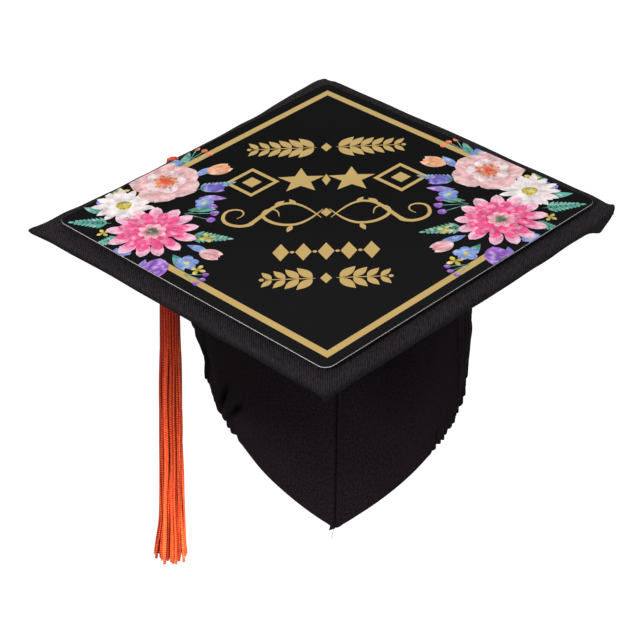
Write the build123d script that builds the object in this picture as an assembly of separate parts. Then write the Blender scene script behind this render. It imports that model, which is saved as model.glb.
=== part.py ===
"""Graduation cap: a cloth covered square board on a soft skullcap, with a card topper and a hanging tassel.

Millimetres, +Z up. The origin is the head seat, the middle of the crown lining's underside. The square board
stands on its corner: its corners lie on the X and Y axes, and the skullcap's front point is at -Y.
"""
import os
from math import cos, hypot, pi, radians, sin

from build123d import *

# ---------------------------------------------------------------- driving dimensions
COVER_SIDE = 256.0  # over the cloth, flat to flat
COVER_CORNER_RADIUS = 4.0
CORE_SIDE = 250.0
CORE_THICKNESS = 4.4
CLOTH = 0.7  # cover cloth
SEAM_EASE = 0.3  # room between a cloth cover and what it covers
RIM_RADIUS = 3.0  # rounding of the covered rim, above and below
RIM_SHARE = 0.47  # of the board's thickness, the most that a rounding takes

TOPPER_SIDE = 235.0
TOPPER_THICKNESS = 1.0
TOPPER_CORNER_RADIUS = 6.3
PAD_SIDE = 25.0
PAD_THICKNESS = 3.6
CORNER_PAD_DISTANCE = 132.0  # from the middle to the pads in the corners
EDGE_PAD_DISTANCE = 98.0  # to the pads at three of the edges
INNER_PAD_DISTANCE = 46.0  # to the pads round the button

BUTTON_HEAD_RADIUS = 8.5
BUTTON_HEAD_THICKNESS = 0.9
BUTTON_HEAD_ROUNDING = 0.54
BUTTON_NECK_RADIUS = 4.4
BUTTON_PIN_RADIUS = 1.5
BUTTON_PIN_DEPTH_IN_NECK = 1.4
PIN_CLEARANCE = 0.1
WASHER_RADIUS = 6.0
WASHER_THICKNESS = 0.8

OVAL_HALF_WIDTH = 87.5  # skullcap, outside, across X
OVAL_HALF_DEPTH = 96.0  # along Y
SKULL_CLOTH = 1.0  # outer cloth with its interlining
LINING_THICKNESS = 1.0
SIDE_SEAM_ANGLE = 60.0  # degrees round from the front seam
SHOULDER_HALF_WIDTH = 47.0  # half way from the front point to the side seams
FRONT_DEPTH = 160.5  # hem: from the head seat down to the front point
LEFT_SHOULDER_DEPTH = 123.5  # the left side is pushed up
LEFT_SEAM_DEPTH = 84.5
LEFT_SIDE_DEPTH = 80.0
RIGHT_SHOULDER_DEPTH = 132.3  # the right side hangs lower
RIGHT_SEAM_DEPTH = 112.0
RIGHT_SIDE_DEPTH = 90.0
BACK_DEPTH = 78.0

HEM_HEIGHT = 12.0
FACING_THICKNESS = 0.7
TAPE_WIDTH = 12.0
TAPE_THICKNESS = 0.6
TAB_WIDTH = 4.5
TAB_HEIGHT = 9.0
TAB_DROP = 5.0  # how far the tab hangs below the front point
TAB_THICKNESS = 1.2
TAB_CLEARANCE = 0.05
CASING_HEIGHT = 11.0
CASING_WALL = 0.6
ELASTIC_HEIGHT = 7.0
ELASTIC_THICKNESS = 1.0

CORD_DIAMETER = 1.8
CORD_CLEARANCE = 0.3  # cord to board, button and topper
REST_ANGLE = 7.4  # degrees, from the back-left edge's middle to where the cord crosses it
TASSEL_LEAN = 4.5  # degrees out of plumb, towards the left corner
STRAND_GAP_AT_EDGE = 2.3  # between the two strands' middles
STRAND_GAP_AT_KNOT = 2.1
CORD_TAIL = 0.5  # straight end of the loop under its bend
LOOP_SPREAD = 1.02  # the loop's half width in bend radii, so that its bends stay apart
DROP_LENGTH = 62.0  # swing axis to the middle of the knot

KNOT_RADIUS = 3.2
KNOT_SEAT = 0.85  # level of its flat underside below its middle, in knot radii
HEAD_RADIUS = 5.4
HEAD_TOP_RADIUS = 2.7
HEAD_SHOULDER_RADIUS = 4.75
HEAD_HEIGHT = 12.0
HEAD_NECK_RADIUS = 4.6
COLLAR_HEIGHT = 7.0
COLLAR_THICKNESS = 1.1
SKIRT_LENGTH = 253.0
SKIRT_TOP_RADIUS = 6.4
SKIRT_BOTTOM_RADIUS = 9.5
SKIRT_SHOULDER = 12.0  # length over which the skirt widens under the collar

# ---------------------------------------------------------------- levels and fits
BOARD_BOTTOM = LINING_THICKNESS
CORE_BOTTOM = BOARD_BOTTOM + CLOTH + SEAM_EASE
CORE_TOP = CORE_BOTTOM + CORE_THICKNESS
BOARD_TOP = CORE_TOP + SEAM_EASE + CLOTH
BOARD_THICKNESS = BOARD_TOP - BOARD_BOTTOM
SEAM_LEVEL = (BOARD_BOTTOM + BOARD_TOP) / 2
TOPPER_BOTTOM = BOARD_TOP + PAD_THICKNESS
TOPPER_TOP = TOPPER_BOTTOM + TOPPER_THICKNESS
CAVITY_SIDE = CORE_SIDE + 2 * SEAM_EASE
RIM_FILLET = min(RIM_RADIUS, RIM_SHARE * BOARD_THICKNESS)

CORD_RADIUS = CORD_DIAMETER / 2
CORD_LEVEL = BOARD_TOP + CORD_CLEARANCE + CORD_RADIUS
NECK_HEIGHT = CORD_DIAMETER + 2 * CORD_CLEARANCE
LOOP_RADIUS = BUTTON_NECK_RADIUS + CORD_CLEARANCE + CORD_RADIUS
EDGE_BEND_RADIUS = RIM_FILLET + CORD_CLEARANCE + CORD_RADIUS
EDGE_REACH = COVER_SIDE / 2 + CORD_CLEARANCE + CORD_RADIUS
EDGE_REACH += STRAND_GAP_AT_EDGE / 2 * sin(radians(REST_ANGLE))
DROP_REACH = EDGE_REACH / cos(radians(REST_ANGLE))  # button to the hanging strands
LOOP_END = CORD_LEVEL - EDGE_BEND_RADIUS - CORD_TAIL
SWING_LEVEL = LOOP_END - CORD_CLEARANCE - CORD_RADIUS
KNOT_LEVEL = SWING_LEVEL - DROP_LENGTH
STRAND_END = KNOT_LEVEL + KNOT_RADIUS + CORD_CLEARANCE
HEAD_TOP = KNOT_LEVEL - KNOT_SEAT * KNOT_RADIUS
COLLAR_TOP = HEAD_TOP - HEAD_HEIGHT
SKIRT_TOP = COLLAR_TOP - COLLAR_HEIGHT

TASSEL_HEADING = 135 + REST_ANGLE  # degrees from +X, seen from above
TASSEL_FRAME = Rot(0, 0, TASSEL_HEADING)  # its X points from the button out along the cord
SWING_POINT = (TASSEL_FRAME * Pos(DROP_REACH, 0, SWING_LEVEL)).position
LEANING = Pos(SWING_POINT) * Rot(0, TASSEL_LEAN, 0) * Pos(-SWING_POINT)
HUNG_FRAME = LEANING * TASSEL_FRAME  # the same for all that hangs under the swing point
BELOW_ALL = -FRONT_DEPTH - HEM_HEIGHT


# ---------------------------------------------------------------- board
def board_slab(side, bottom, top, corner=0.0, rim=0.0):
    """A square slab standing on its corner, with optional round corners and a round rim."""
    slab = Pos(0, 0, (bottom + top) / 2) * Box(side, side, top - bottom)
    if corner:
        slab = fillet(slab.edges().filter_by(Axis.Z), corner)
    if rim:
        flat_faces = slab.faces().sort_by(Axis.Z)
        slab = fillet(flat_faces[0].edges() + flat_faces[-1].edges(), rim)
    return Rot(0, 0, 45) * slab


def disc(radius, bottom, top):
    """A cylinder on the button's axis."""
    return Pos(0, 0, (bottom + top) / 2) * Cylinder(radius, top - bottom)


def cover_panels():
    """The cloth bag round the core, parted at the rim's seam into a top and a bottom panel."""
    bag = board_slab(COVER_SIDE, BOARD_BOTTOM, BOARD_TOP, COVER_CORNER_RADIUS, RIM_FILLET)
    bag -= board_slab(CAVITY_SIDE, BOARD_BOTTOM + CLOTH, BOARD_TOP - CLOTH)
    bag -= disc(BUTTON_PIN_RADIUS + PIN_CLEARANCE, SEAM_LEVEL, BOARD_TOP + CLOTH)
    upper = bag & board_slab(2 * COVER_SIDE, SEAM_LEVEL, BOARD_TOP + CLOTH)
    lower = bag & board_slab(2 * COVER_SIDE, BOARD_BOTTOM - CLOTH, SEAM_LEVEL)
    return upper, lower


def mortarboard_core():
    """The stiff board, with the pin's hole and a counterbore for the washer."""
    core = board_slab(CORE_SIDE, CORE_BOTTOM, CORE_TOP)
    core -= disc(BUTTON_PIN_RADIUS + PIN_CLEARANCE, CORE_BOTTOM, CORE_TOP)
    core -= disc(WASHER_RADIUS + SEAM_EASE, CORE_BOTTOM, CORE_BOTTOM + WASHER_THICKNESS)
    return core


def topper_card():
    """The card with round corners, level and clear of the cord."""
    return board_slab(TOPPER_SIDE, TOPPER_BOTTOM, TOPPER_TOP, TOPPER_CORNER_RADIUS)


def topper_foam_pads():
    """Pads in the corners, at the three edges that the cord leaves alone, and round the button."""
    places = [(CORNER_PAD_DISTANCE, angle) for angle in (0, 90, 180, 270)]
    places += [(EDGE_PAD_DISTANCE, angle) for angle in (-135, -45, 45)]
    places += [(INNER_PAD_DISTANCE, angle) for angle in (0, 90, 180, 270)]
    pads = []
    for distance, angle in places:
        turned = Rot(0, 0, angle) * Pos(distance, 0, 0) * Rot(0, 0, -angle)
        pads.append(turned * board_slab(PAD_SIDE, BOARD_TOP, TOPPER_BOTTOM))
    return pads


def button():
    """A flat button: a neck for the loop, and a slightly domed head over it."""
    neck_top = BOARD_TOP + NECK_HEIGHT
    head = disc(BUTTON_HEAD_RADIUS, neck_top, neck_top + BUTTON_HEAD_THICKNESS)
    head = fillet(head.edges().group_by(Axis.Z)[-1], BUTTON_HEAD_ROUNDING)
    neck = disc(BUTTON_NECK_RADIUS, BOARD_TOP, neck_top)
    return head + neck - disc(BUTTON_PIN_RADIUS, BOARD_TOP, BOARD_TOP + BUTTON_PIN_DEPTH_IN_NECK)


def button_pin():
    """From the core's underside up into the neck."""
    return disc(BUTTON_PIN_RADIUS, CORE_BOTTOM, BOARD_TOP + BUTTON_PIN_DEPTH_IN_NECK)


def button_washer():
    """Round the pin, let into the core's underside."""
    washer = disc(WASHER_RADIUS, CORE_BOTTOM, CORE_BOTTOM + WASHER_THICKNESS)
    return washer - disc(BUTTON_PIN_RADIUS, CORE_BOTTOM, CORE_BOTTOM + WASHER_THICKNESS)


# ---------------------------------------------------------------- skullcap
def oval_ring(inset, thickness, bottom, top):
    """A wall that follows the skullcap's oval, its outside at the given inset."""
    width, depth = OVAL_HALF_WIDTH - inset, OVAL_HALF_DEPTH - inset
    ring = Ellipse(width, depth) - Ellipse(width - thickness, depth - thickness)
    return Pos(0, 0, bottom) * extrude(ring, amount=top - bottom)


def above_side_hem(side, shoulder_depth, seam_depth, side_depth, lift):
    """The space above the hem on one side: -1 left or 1 right. It is an arc to the side seam, then two slopes."""
    wide, deep = 2 * OVAL_HALF_WIDTH, 2 * OVAL_HALF_DEPTH
    seam_x, seam_y = seam_place()
    point, seam, middle, back = (lift - depth for depth in (FRONT_DEPTH, seam_depth, side_depth, BACK_DEPTH))
    shoulder = (side * SHOULDER_HALF_WIDTH, lift - shoulder_depth)
    front_outline = [
        ThreePointArc((0, point), shoulder, (side * seam_x, seam)),
        Polyline((side * seam_x, seam), (side * wide, seam), (side * wide, deep), (0, deep), (0, point)),
    ]
    side_places = [(-seam_y, seam), (0, middle), (OVAL_HALF_DEPTH, back), (deep, back), (deep, deep), (-seam_y, deep)]
    side_outline = Polyline(*side_places, close=True)
    front = Pos(0, -seam_y, 0) * extrude(Plane.XZ * make_face(front_outline), amount=deep)
    return front + extrude(Plane.YZ * make_face(side_outline), amount=side * wide)


def seam_place():
    """Half width and half depth of the oval at the side seams."""
    across, along = sin(radians(SIDE_SEAM_ANGLE)), cos(radians(SIDE_SEAM_ANGLE))
    reach = 1 / hypot(across / OVAL_HALF_WIDTH, along / OVAL_HALF_DEPTH)
    return reach * across, reach * along


def above_hem(lift=0.0):
    """All space above the hem line, or above a line that much higher."""
    left = above_side_hem(-1, LEFT_SHOULDER_DEPTH, LEFT_SEAM_DEPTH, LEFT_SIDE_DEPTH, lift)
    return left + above_side_hem(1, RIGHT_SHOULDER_DEPTH, RIGHT_SEAM_DEPTH, RIGHT_SIDE_DEPTH, lift)


def sector(start, end):
    """All space between two angles round the oval, in degrees from the front, towards +X."""
    reach = 4 * OVAL_HALF_DEPTH
    steps = 6
    rim = []
    for step in range(steps + 1):
        angle = radians(start + (end - start) * step / steps - 90)
        rim.append((reach * cos(angle), reach * sin(angle)))
    wedge = make_face(Polyline((0, 0), *rim, close=True))
    return Pos(0, 0, 2 * BELOW_ALL) * extrude(wedge, amount=-4 * BELOW_ALL)


def skull_panels():
    """The two front panels and the back panel, meeting at the front seam and the side seams."""
    wall = oval_ring(0, SKULL_CLOTH, BELOW_ALL, BOARD_BOTTOM) & above_hem()
    left = wall & sector(-SIDE_SEAM_ANGLE, 0)
    right = wall & sector(0, SIDE_SEAM_ANGLE)
    back = wall & sector(SIDE_SEAM_ANGLE, 360 - SIDE_SEAM_ANGLE)
    return left, right, back


def crown_lining():
    """The oval that closes the skullcap under the board."""
    inside = SKULL_CLOTH
    return extrude(Ellipse(OVAL_HALF_WIDTH - inside, OVAL_HALF_DEPTH - inside), amount=LINING_THICKNESS)


def front_hem_facing():
    """The turned hem inside the front panels."""
    facing = oval_ring(SKULL_CLOTH, FACING_THICKNESS, BELOW_ALL, 0) & above_hem()
    facing -= above_hem(HEM_HEIGHT)
    return facing & sector(-SIDE_SEAM_ANGLE, SIDE_SEAM_ANGLE)


def front_seam_tape():
    """The tape over the front seam, from the crown down to the facing."""
    tape = oval_ring(SKULL_CLOTH, TAPE_THICKNESS, BELOW_ALL, 0) & above_hem(HEM_HEIGHT)
    slot = Pos(0, -OVAL_HALF_DEPTH, 0) * Box(TAPE_WIDTH, OVAL_HALF_DEPTH, -4 * BELOW_ALL)
    return tape & slot


def front_point_tab():
    """The seam's folded end, against the facing, hanging out under the front point."""
    inner_face = OVAL_HALF_DEPTH - SKULL_CLOTH - FACING_THICKNESS
    middle = inner_face - TAB_CLEARANCE - TAB_THICKNESS / 2
    level = -FRONT_DEPTH - TAB_DROP + TAB_HEIGHT / 2
    return Pos(0, -middle, level) * Box(TAB_WIDTH, TAB_THICKNESS, TAB_HEIGHT)


def back_hem_band(inset, thickness, lift, height):
    """A band inside the back panel that follows its hem."""
    band = oval_ring(inset, thickness, BELOW_ALL, 0) & above_hem(lift)
    band -= above_hem(lift + height)
    return band & sector(SIDE_SEAM_ANGLE, 360 - SIDE_SEAM_ANGLE)


def elastic_casing():
    """A channel along the back hem, open towards the panel, with the elastic in it."""
    depth = ELASTIC_THICKNESS + 2 * SEAM_EASE
    outer = back_hem_band(SKULL_CLOTH, depth + CASING_WALL, 0, CASING_HEIGHT)
    return outer - back_hem_band(SKULL_CLOTH, depth, CASING_WALL, CASING_HEIGHT - 2 * CASING_WALL)


def elastic_band():
    """The elastic, in the middle of its channel."""
    lift = (CASING_HEIGHT - ELASTIC_HEIGHT) / 2
    return back_hem_band(SKULL_CLOTH + SEAM_EASE, ELASTIC_THICKNESS, lift, ELASTIC_HEIGHT)


# ---------------------------------------------------------------- tassel
def tube(path, radius):
    """A round cord along a path of straight runs and tangent arcs."""
    section = Plane(origin=path @ 0, z_dir=path % 0) * Circle(radius)
    cord = sweep(section, path=path)
    expected = pi * radius**2 * path.length
    print(f"cord of {path.length:.1f} mm: volume {cord.volume:.1f}, section times length {expected:.1f}")
    return cord


def tassel_cord_loop():
    """One cord, up over the board's edge, round the button's neck and back over the edge."""
    edge, neck = STRAND_GAP_AT_EDGE / 2, LOOP_RADIUS * LOOP_SPREAD
    half_route = [
        (DROP_REACH, edge, LOOP_END),
        (DROP_REACH, edge, CORD_LEVEL),
        (-LOOP_RADIUS, neck, CORD_LEVEL),
    ]
    route = half_route + [(x, -y, z) for x, y, z in reversed(half_route)]
    bends = [EDGE_BEND_RADIUS, LOOP_RADIUS, LOOP_RADIUS, EDGE_BEND_RADIUS]
    print("loop radii", [round(bend, 1) for bend in bends])
    return TASSEL_FRAME * tube(FilletPolyline(*route, radius=bends), CORD_RADIUS)


def tassel_cord_drop():
    """The two strands from the swing axis down to the knot, each with a round upper end."""
    strands = []
    for side in (-1, 1):
        start = (DROP_REACH, side * STRAND_GAP_AT_EDGE / 2, SWING_LEVEL)
        end = (DROP_REACH, side * STRAND_GAP_AT_KNOT / 2, STRAND_END)
        strand = Pos(*start) * Sphere(CORD_RADIUS) + tube(Line(start, end), CORD_RADIUS)
        strands.append(HUNG_FRAME * strand)
    return strands


def turned(points):
    """A solid of revolution on the tassel's own axis from (radius, level) points."""
    outline = make_face(Polyline(*points, close=True))
    return HUNG_FRAME * Pos(DROP_REACH, 0, 0) * revolve(Plane.XZ * outline, Axis.Z)


def tassel_knot():
    """A round knot, flat where it sits on the head."""
    ball = Pos(DROP_REACH, 0, KNOT_LEVEL) * Sphere(KNOT_RADIUS)
    span = 2 * KNOT_RADIUS
    below = Pos(DROP_REACH, 0, HEAD_TOP - KNOT_RADIUS) * Box(span, span, span)
    return HUNG_FRAME * (ball - below)


def tassel_head():
    """The bulb of folded yarn, and its neck inside the collar."""
    quarter = HEAD_HEIGHT / 4
    return turned(
        [
            (0, HEAD_TOP),
            (HEAD_TOP_RADIUS, HEAD_TOP),
            (HEAD_SHOULDER_RADIUS, HEAD_TOP - quarter),
            (HEAD_RADIUS, HEAD_TOP - 2 * quarter),
            (HEAD_RADIUS, HEAD_TOP - 3 * quarter),
            (HEAD_NECK_RADIUS, COLLAR_TOP),
            (HEAD_NECK_RADIUS, SKIRT_TOP),
            (0, SKIRT_TOP),
        ]
    )


def tassel_collar():
    """The thread binding round the neck."""
    outer = HEAD_NECK_RADIUS + COLLAR_THICKNESS
    inner = HEAD_NECK_RADIUS
    return turned([(inner, COLLAR_TOP), (outer, COLLAR_TOP), (outer, SKIRT_TOP), (inner, SKIRT_TOP)])


def tassel_skirt():
    """The bundle of hanging strands."""
    bottom = SKIRT_TOP - SKIRT_LENGTH
    return turned(
        [
            (0, SKIRT_TOP),
            (HEAD_NECK_RADIUS, SKIRT_TOP),
            (SKIRT_TOP_RADIUS, SKIRT_TOP - SKIRT_SHOULDER),
            (SKIRT_BOTTOM_RADIUS, bottom),
            (0, bottom),
        ]
    )


# ---------------------------------------------------------------- assembly
def solids_of(shape):
    """The solids of a shape or of a list of shapes."""
    shapes = shape if isinstance(shape, list) else [shape]
    return [solid for item in shapes for solid in item.solids()]


cover_top, cover_bottom = cover_panels()
skull_left, skull_right, skull_back = skull_panels()
NODES = {
    "topper_card": topper_card(),
    "topper_foam_pads": topper_foam_pads(),
    "cover_top_panel": cover_top,
    "cover_bottom_panel": cover_bottom,
    "mortarboard_core": mortarboard_core(),
    "button": button(),
    "button_pin": button_pin(),
    "button_washer": button_washer(),
    "crown_lining": crown_lining(),
    "skull_front_left": skull_left,
    "skull_front_right": skull_right,
    "skull_back_panel": skull_back,
    "front_seam_tape": front_seam_tape(),
    "front_hem_facing": front_hem_facing(),
    "front_point_tab": front_point_tab(),
    "elastic_casing": elastic_casing(),
    "elastic_band": elastic_band(),
    "tassel_cord_loop": tassel_cord_loop(),
    "tassel_cord_drop": tassel_cord_drop(),
    "tassel_knot": tassel_knot(),
    "tassel_head": tassel_head(),
    "tassel_collar": tassel_collar(),
    "tassel_skirt": tassel_skirt(),
}

os.makedirs("parts", exist_ok=True)
for name, shape in NODES.items():
    export_step(Compound(solids_of(shape)), f"parts/{name}.step")
knot = (HUNG_FRAME * Pos(DROP_REACH, 0, KNOT_LEVEL)).position
print("swing point", [round(c, 3) for c in SWING_POINT], "knot", [round(c, 3) for c in knot])
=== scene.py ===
# %% [markdown]
# # A graduation cap
# A mortarboard is a stiff square board in a cloth cover, sewn to a soft skullcap that sits on the head.
# A tassel hangs from a cord that is looped round a button in the board's middle and falls over one edge.
# This cap also has a printed card, a topper, on foam pads over the board.
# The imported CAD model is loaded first. It fixes every place and size, and the pieces made here ride on its bodies.

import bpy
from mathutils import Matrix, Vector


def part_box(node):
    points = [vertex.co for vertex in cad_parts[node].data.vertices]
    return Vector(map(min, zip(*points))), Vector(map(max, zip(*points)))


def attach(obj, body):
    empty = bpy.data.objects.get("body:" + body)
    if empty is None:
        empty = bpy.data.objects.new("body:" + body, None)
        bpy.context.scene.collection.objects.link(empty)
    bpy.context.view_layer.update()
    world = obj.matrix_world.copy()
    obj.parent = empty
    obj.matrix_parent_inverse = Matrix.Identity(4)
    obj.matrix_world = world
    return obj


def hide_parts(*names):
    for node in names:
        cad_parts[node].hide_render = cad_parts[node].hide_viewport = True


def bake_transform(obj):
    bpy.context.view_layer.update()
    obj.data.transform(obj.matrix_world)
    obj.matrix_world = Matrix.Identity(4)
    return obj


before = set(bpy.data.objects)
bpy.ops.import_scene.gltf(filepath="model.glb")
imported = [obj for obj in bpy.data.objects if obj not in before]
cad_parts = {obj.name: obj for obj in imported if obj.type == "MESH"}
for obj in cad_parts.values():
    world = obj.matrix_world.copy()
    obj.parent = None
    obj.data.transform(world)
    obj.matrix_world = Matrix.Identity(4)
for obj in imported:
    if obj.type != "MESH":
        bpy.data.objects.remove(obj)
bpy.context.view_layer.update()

# %% [markdown]
# Blender works in metres and a maker of hats works in millimetres, so the design values are in millimetres.
# A few small tools come first. Each operator works on what is selected, so everything is deselected before it.

# %% Selecting and naming
import math
import random

import bpy
import numpy as np
from mathutils import Matrix, Vector

MM = 0.001


def metres(place):
    """A place in millimetres, as Blender takes it."""
    return [c * MM for c in place]


def leave_edit():
    """Goes back to object mode, where a mesh can be read."""
    if bpy.context.mode != "OBJECT":
        bpy.ops.object.mode_set(mode="OBJECT")


def take(*things):
    """Leaves edit mode and selects only these objects, the first one active."""
    leave_edit()
    bpy.ops.object.select_all(action="DESELECT")
    for thing in things:
        thing.select_set(True)
    bpy.context.view_layer.objects.active = things[0]


def edit_all(thing):
    """Enters edit mode with the whole mesh selected."""
    take(thing)
    bpy.ops.object.mode_set(mode="EDIT")
    bpy.ops.mesh.select_all(action="SELECT")


def named(name, thing=None):
    """Names an object and its data, by default the primitive that was just added."""
    thing = thing or bpy.context.object
    thing.name = thing.data.name = name
    return thing


def discard(*things):
    """Removes blanks and guides that are no longer needed."""
    for thing in things:
        bpy.data.objects.remove(thing)


def rotation(degrees, axis):
    """The matrix that turns about an axis."""
    return Matrix.Rotation(math.radians(degrees), 3, axis)


def box_of(node):
    """The lowest and highest corner of a CAD node, in millimetres."""
    low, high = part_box(node)
    return np.array(low) / MM, np.array(high) / MM


bpy.ops.object.select_all(action="DESELECT")
BOARD_BOTTOM = box_of("cover_bottom_panel")[0][2]
BOARD_TOP = box_of("cover_top_panel")[1][2]
SEAM_LEVEL = box_of("cover_top_panel")[0][2]
CARD_BOTTOM, CARD_TOP = box_of("topper_card")[0][2], box_of("topper_card")[1][2]
print("board from", BOARD_BOTTOM, "to", BOARD_TOP, "card from", CARD_BOTTOM, "to", CARD_TOP)

# %% Reading and moving a mesh's points
def read(items, field, width=3, kind=float):
    """One property of all vertices, edges, faces or corners, one row each."""
    flat = np.empty(len(items) * width, kind)
    items.foreach_get(field, flat)
    return flat.reshape(-1, width)


def points_of(thing):
    """All points of a mesh, one row each, in millimetres."""
    return read(thing.data.vertices, "co") / MM


def mould(thing, rule):
    """Moves every point of a mesh to where rule(x, y, z) says, as a sculptor would, but in one stroke."""
    moved = np.column_stack(rule(*points_of(thing).T)) * MM
    thing.data.vertices.foreach_set("co", moved.ravel())
    thing.data.update()
    return thing


def choose(thing, kind, test):
    """Enters edit mode with only the faces or edges selected whose middle and normal (or run) pass the test."""
    edit_all(thing)
    bpy.ops.mesh.select_mode(type=kind)
    bpy.ops.mesh.select_all(action="DESELECT")
    leave_edit()
    mesh = thing.data
    if kind == "EDGE":
        pairs = points_of(thing)[read(mesh.edges, "vertices", 2, np.int32)]
        mesh.edges.foreach_set("select", test(*pairs.mean(1).T, pairs[:, 1] - pairs[:, 0]))
    else:
        middle, normal = read(mesh.polygons, "center") / MM, read(mesh.polygons, "normal")
        mesh.polygons.foreach_set("select", test(*middle.T, normal))
    bpy.ops.object.mode_set(mode="EDIT")


def joined(name, things):
    """Joins meshes into the first one."""
    take(*things)
    bpy.ops.object.join()
    return named(name)


def smooth(value, start=0.0, end=1.0):
    """0 before start, 1 after end, and a soft step between them."""
    share = np.clip((value - start) / (end - start), 0, 1)
    return share * share * (3 - 2 * share)


def bell(value, middle, half_width):
    """1 in the middle and fading to both sides; a third of it is left at the half width."""
    return np.exp(-(((value - middle) / half_width) ** 2))


def heading(degrees):
    """The cosine and the sine of an angle in degrees."""
    return math.cos(math.radians(degrees)), math.sin(math.radians(degrees))


# %% Giving cloth its thickness, and declaring a piece
SHARP = 50  # degrees; an edge sharper than this is not smoothed


def thicken(cloth, thickness, offset=-1, **settings):
    """Turns a laid sheet into cloth some millimetres thick, inwards from its outer side unless offset says more."""
    take(cloth)
    modifier = cloth.modifiers.new("Thickness", "SOLIDIFY")
    for key, value in {"thickness": thickness * MM, "offset": offset, **settings}.items():
        setattr(modifier, key, value)
    bpy.ops.object.modifier_apply(modifier=modifier.name)
    bpy.ops.object.shade_smooth_by_angle(angle=math.radians(SHARP))
    return cloth


def declare(piece, body, slot, *nodes):
    """Hides the CAD nodes that a piece stands for and sets the piece on the body it rides on. The slot is not used."""
    if nodes:
        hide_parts(*nodes)
    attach(piece, body)
    print(piece.name, len(piece.data.polygons), "faces, on", body)


# %% [markdown]
# ## The camera
# The cap is seen from the front and from above, with a long lens that keeps the board's sides nearly parallel.
# The camera is turned about the upright axis, tipped down, and then rolled a little.

# %% Place the camera
CAMERA_PLACE = (28.5, -1060.0, 664.8)
CAMERA_TURN, CAMERA_ELEVATION, CAMERA_ROLL = 1.877, 34.764, -3.023  # degrees
LENS, SENSOR = 112.99, 36.0

bpy.ops.object.camera_add(location=metres(CAMERA_PLACE))
camera = named("camera")
axes = rotation(CAMERA_TURN, "Z") @ rotation(90 - CAMERA_ELEVATION, "X") @ rotation(CAMERA_ROLL, "Z")
camera.rotation_euler = axes.to_euler()
camera.data.lens, camera.data.sensor_width = LENS, SENSOR
camera.data.clip_start, camera.data.clip_end = 0.05, 60
bpy.context.scene.camera = camera
print("camera axes", [[round(v, 4) for v in row] for row in axes.transposed()])

# %% [markdown]
# ## Materials: a node helper and shared effects
# Colours are written as they look on a screen, from 0 to 255, and turned into the linear values that Cycles needs.
# An effect that several finishes share is a node group. It gives out shades and heights, never a shader.

# %% Colours and a node helper
def ink(red, green, blue):
    """A screen colour as linear RGBA."""
    linear = [((c / 255 + 0.055) / 1.055) ** 2.4 if c > 10 else c / 255 / 12.92 for c in (red, green, blue)]
    return (*linear, 1.0)


def fill(tree, node, inputs):
    """Links a node's input if the value comes from another node, and else sets it."""
    for socket, value in inputs.items():
        if isinstance(value, bpy.types.NodeSocket):
            tree.links.new(value, node.inputs[socket])
        else:
            node.inputs[socket].default_value = value
    return node


def add(tree, kind, inputs=None, **settings):
    """Adds a node, sets its properties and fills its inputs."""
    made = tree.nodes.new("ShaderNode" + kind)
    for key, value in settings.items():
        setattr(made, key, value)
    return fill(tree, made, inputs or {})


def calc(tree, operation, *values, **settings):
    """A Math node's result."""
    return add(tree, "Math", dict(enumerate(values)), operation=operation, **settings).outputs[0]


def group(name, takes, gives):
    """A node group with named inputs and outputs; returns it, its inputs' values and its output node."""
    tree = bpy.data.node_groups.new(name, "ShaderNodeTree")
    for sockets, direction in ((takes, "INPUT"), (gives, "OUTPUT")):
        for socket in sockets:
            kind = "Vector" if socket in ("Vector", "Stretch") else "Float"
            tree.interface.new_socket(socket, in_out=direction, socket_type="NodeSocket" + kind)
    return tree, tree.nodes.new("NodeGroupInput").outputs, tree.nodes.new("NodeGroupOutput")


def use(tree, effect, **inputs):
    """Places a node group in a material."""
    made = tree.nodes.new("ShaderNodeGroup")
    made.node_tree = effect
    return fill(tree, made, inputs)


# %% Effect: threads that cross, for woven and ribbed cloth
# Rows of threads across U and V. A high U weight and no V weight is a rib; equal weights are a plain weave.
threads, taken, given = group("crossing_threads", ("Vector", "Pitch", "Rib", "Cross", "Stretch"), ("Shade", "Height"))
place = add(threads, "SeparateXYZ", {0: taken["Vector"]}).outputs
per_pitch = calc(threads, "DIVIDE", 2 * math.pi, taken["Pitch"])
waver = add(threads, "TexNoise", {"Vector": taken["Vector"], "Scale": 260.0, "Detail": 2.0})
drift = calc(threads, "MULTIPLY", waver.outputs[0], 1.6)
across = calc(threads, "SINE", calc(threads, "MULTIPLY_ADD", place[0], per_pitch, drift))
down = calc(threads, "SINE", calc(threads, "MULTIPLY_ADD", place[1], per_pitch, drift))
height = calc(threads, "MULTIPLY_ADD", down, taken["Cross"], calc(threads, "MULTIPLY", across, taken["Rib"]))
slub = add(threads, "VectorMath", {0: taken["Vector"], 1: taken["Stretch"]}, operation="MULTIPLY")
streak = add(threads, "TexNoise", {"Vector": slub.outputs[0], "Scale": 1000.0, "Detail": 2.0})
uneven = calc(threads, "SUBTRACT", streak.outputs[0], 0.5)
# The shade is partly painted shade in the grooves between threads, from their height, and partly uneven threads.
fill(threads, given, {
    "Shade": calc(threads, "MULTIPLY_ADD", height, 0.30, calc(threads, "MULTIPLY_ADD", uneven, 2.6, 1.0)),
    "Height": calc(threads, "MULTIPLY_ADD", uneven, 1.5, height),
})
print("effect", threads.name)

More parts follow.
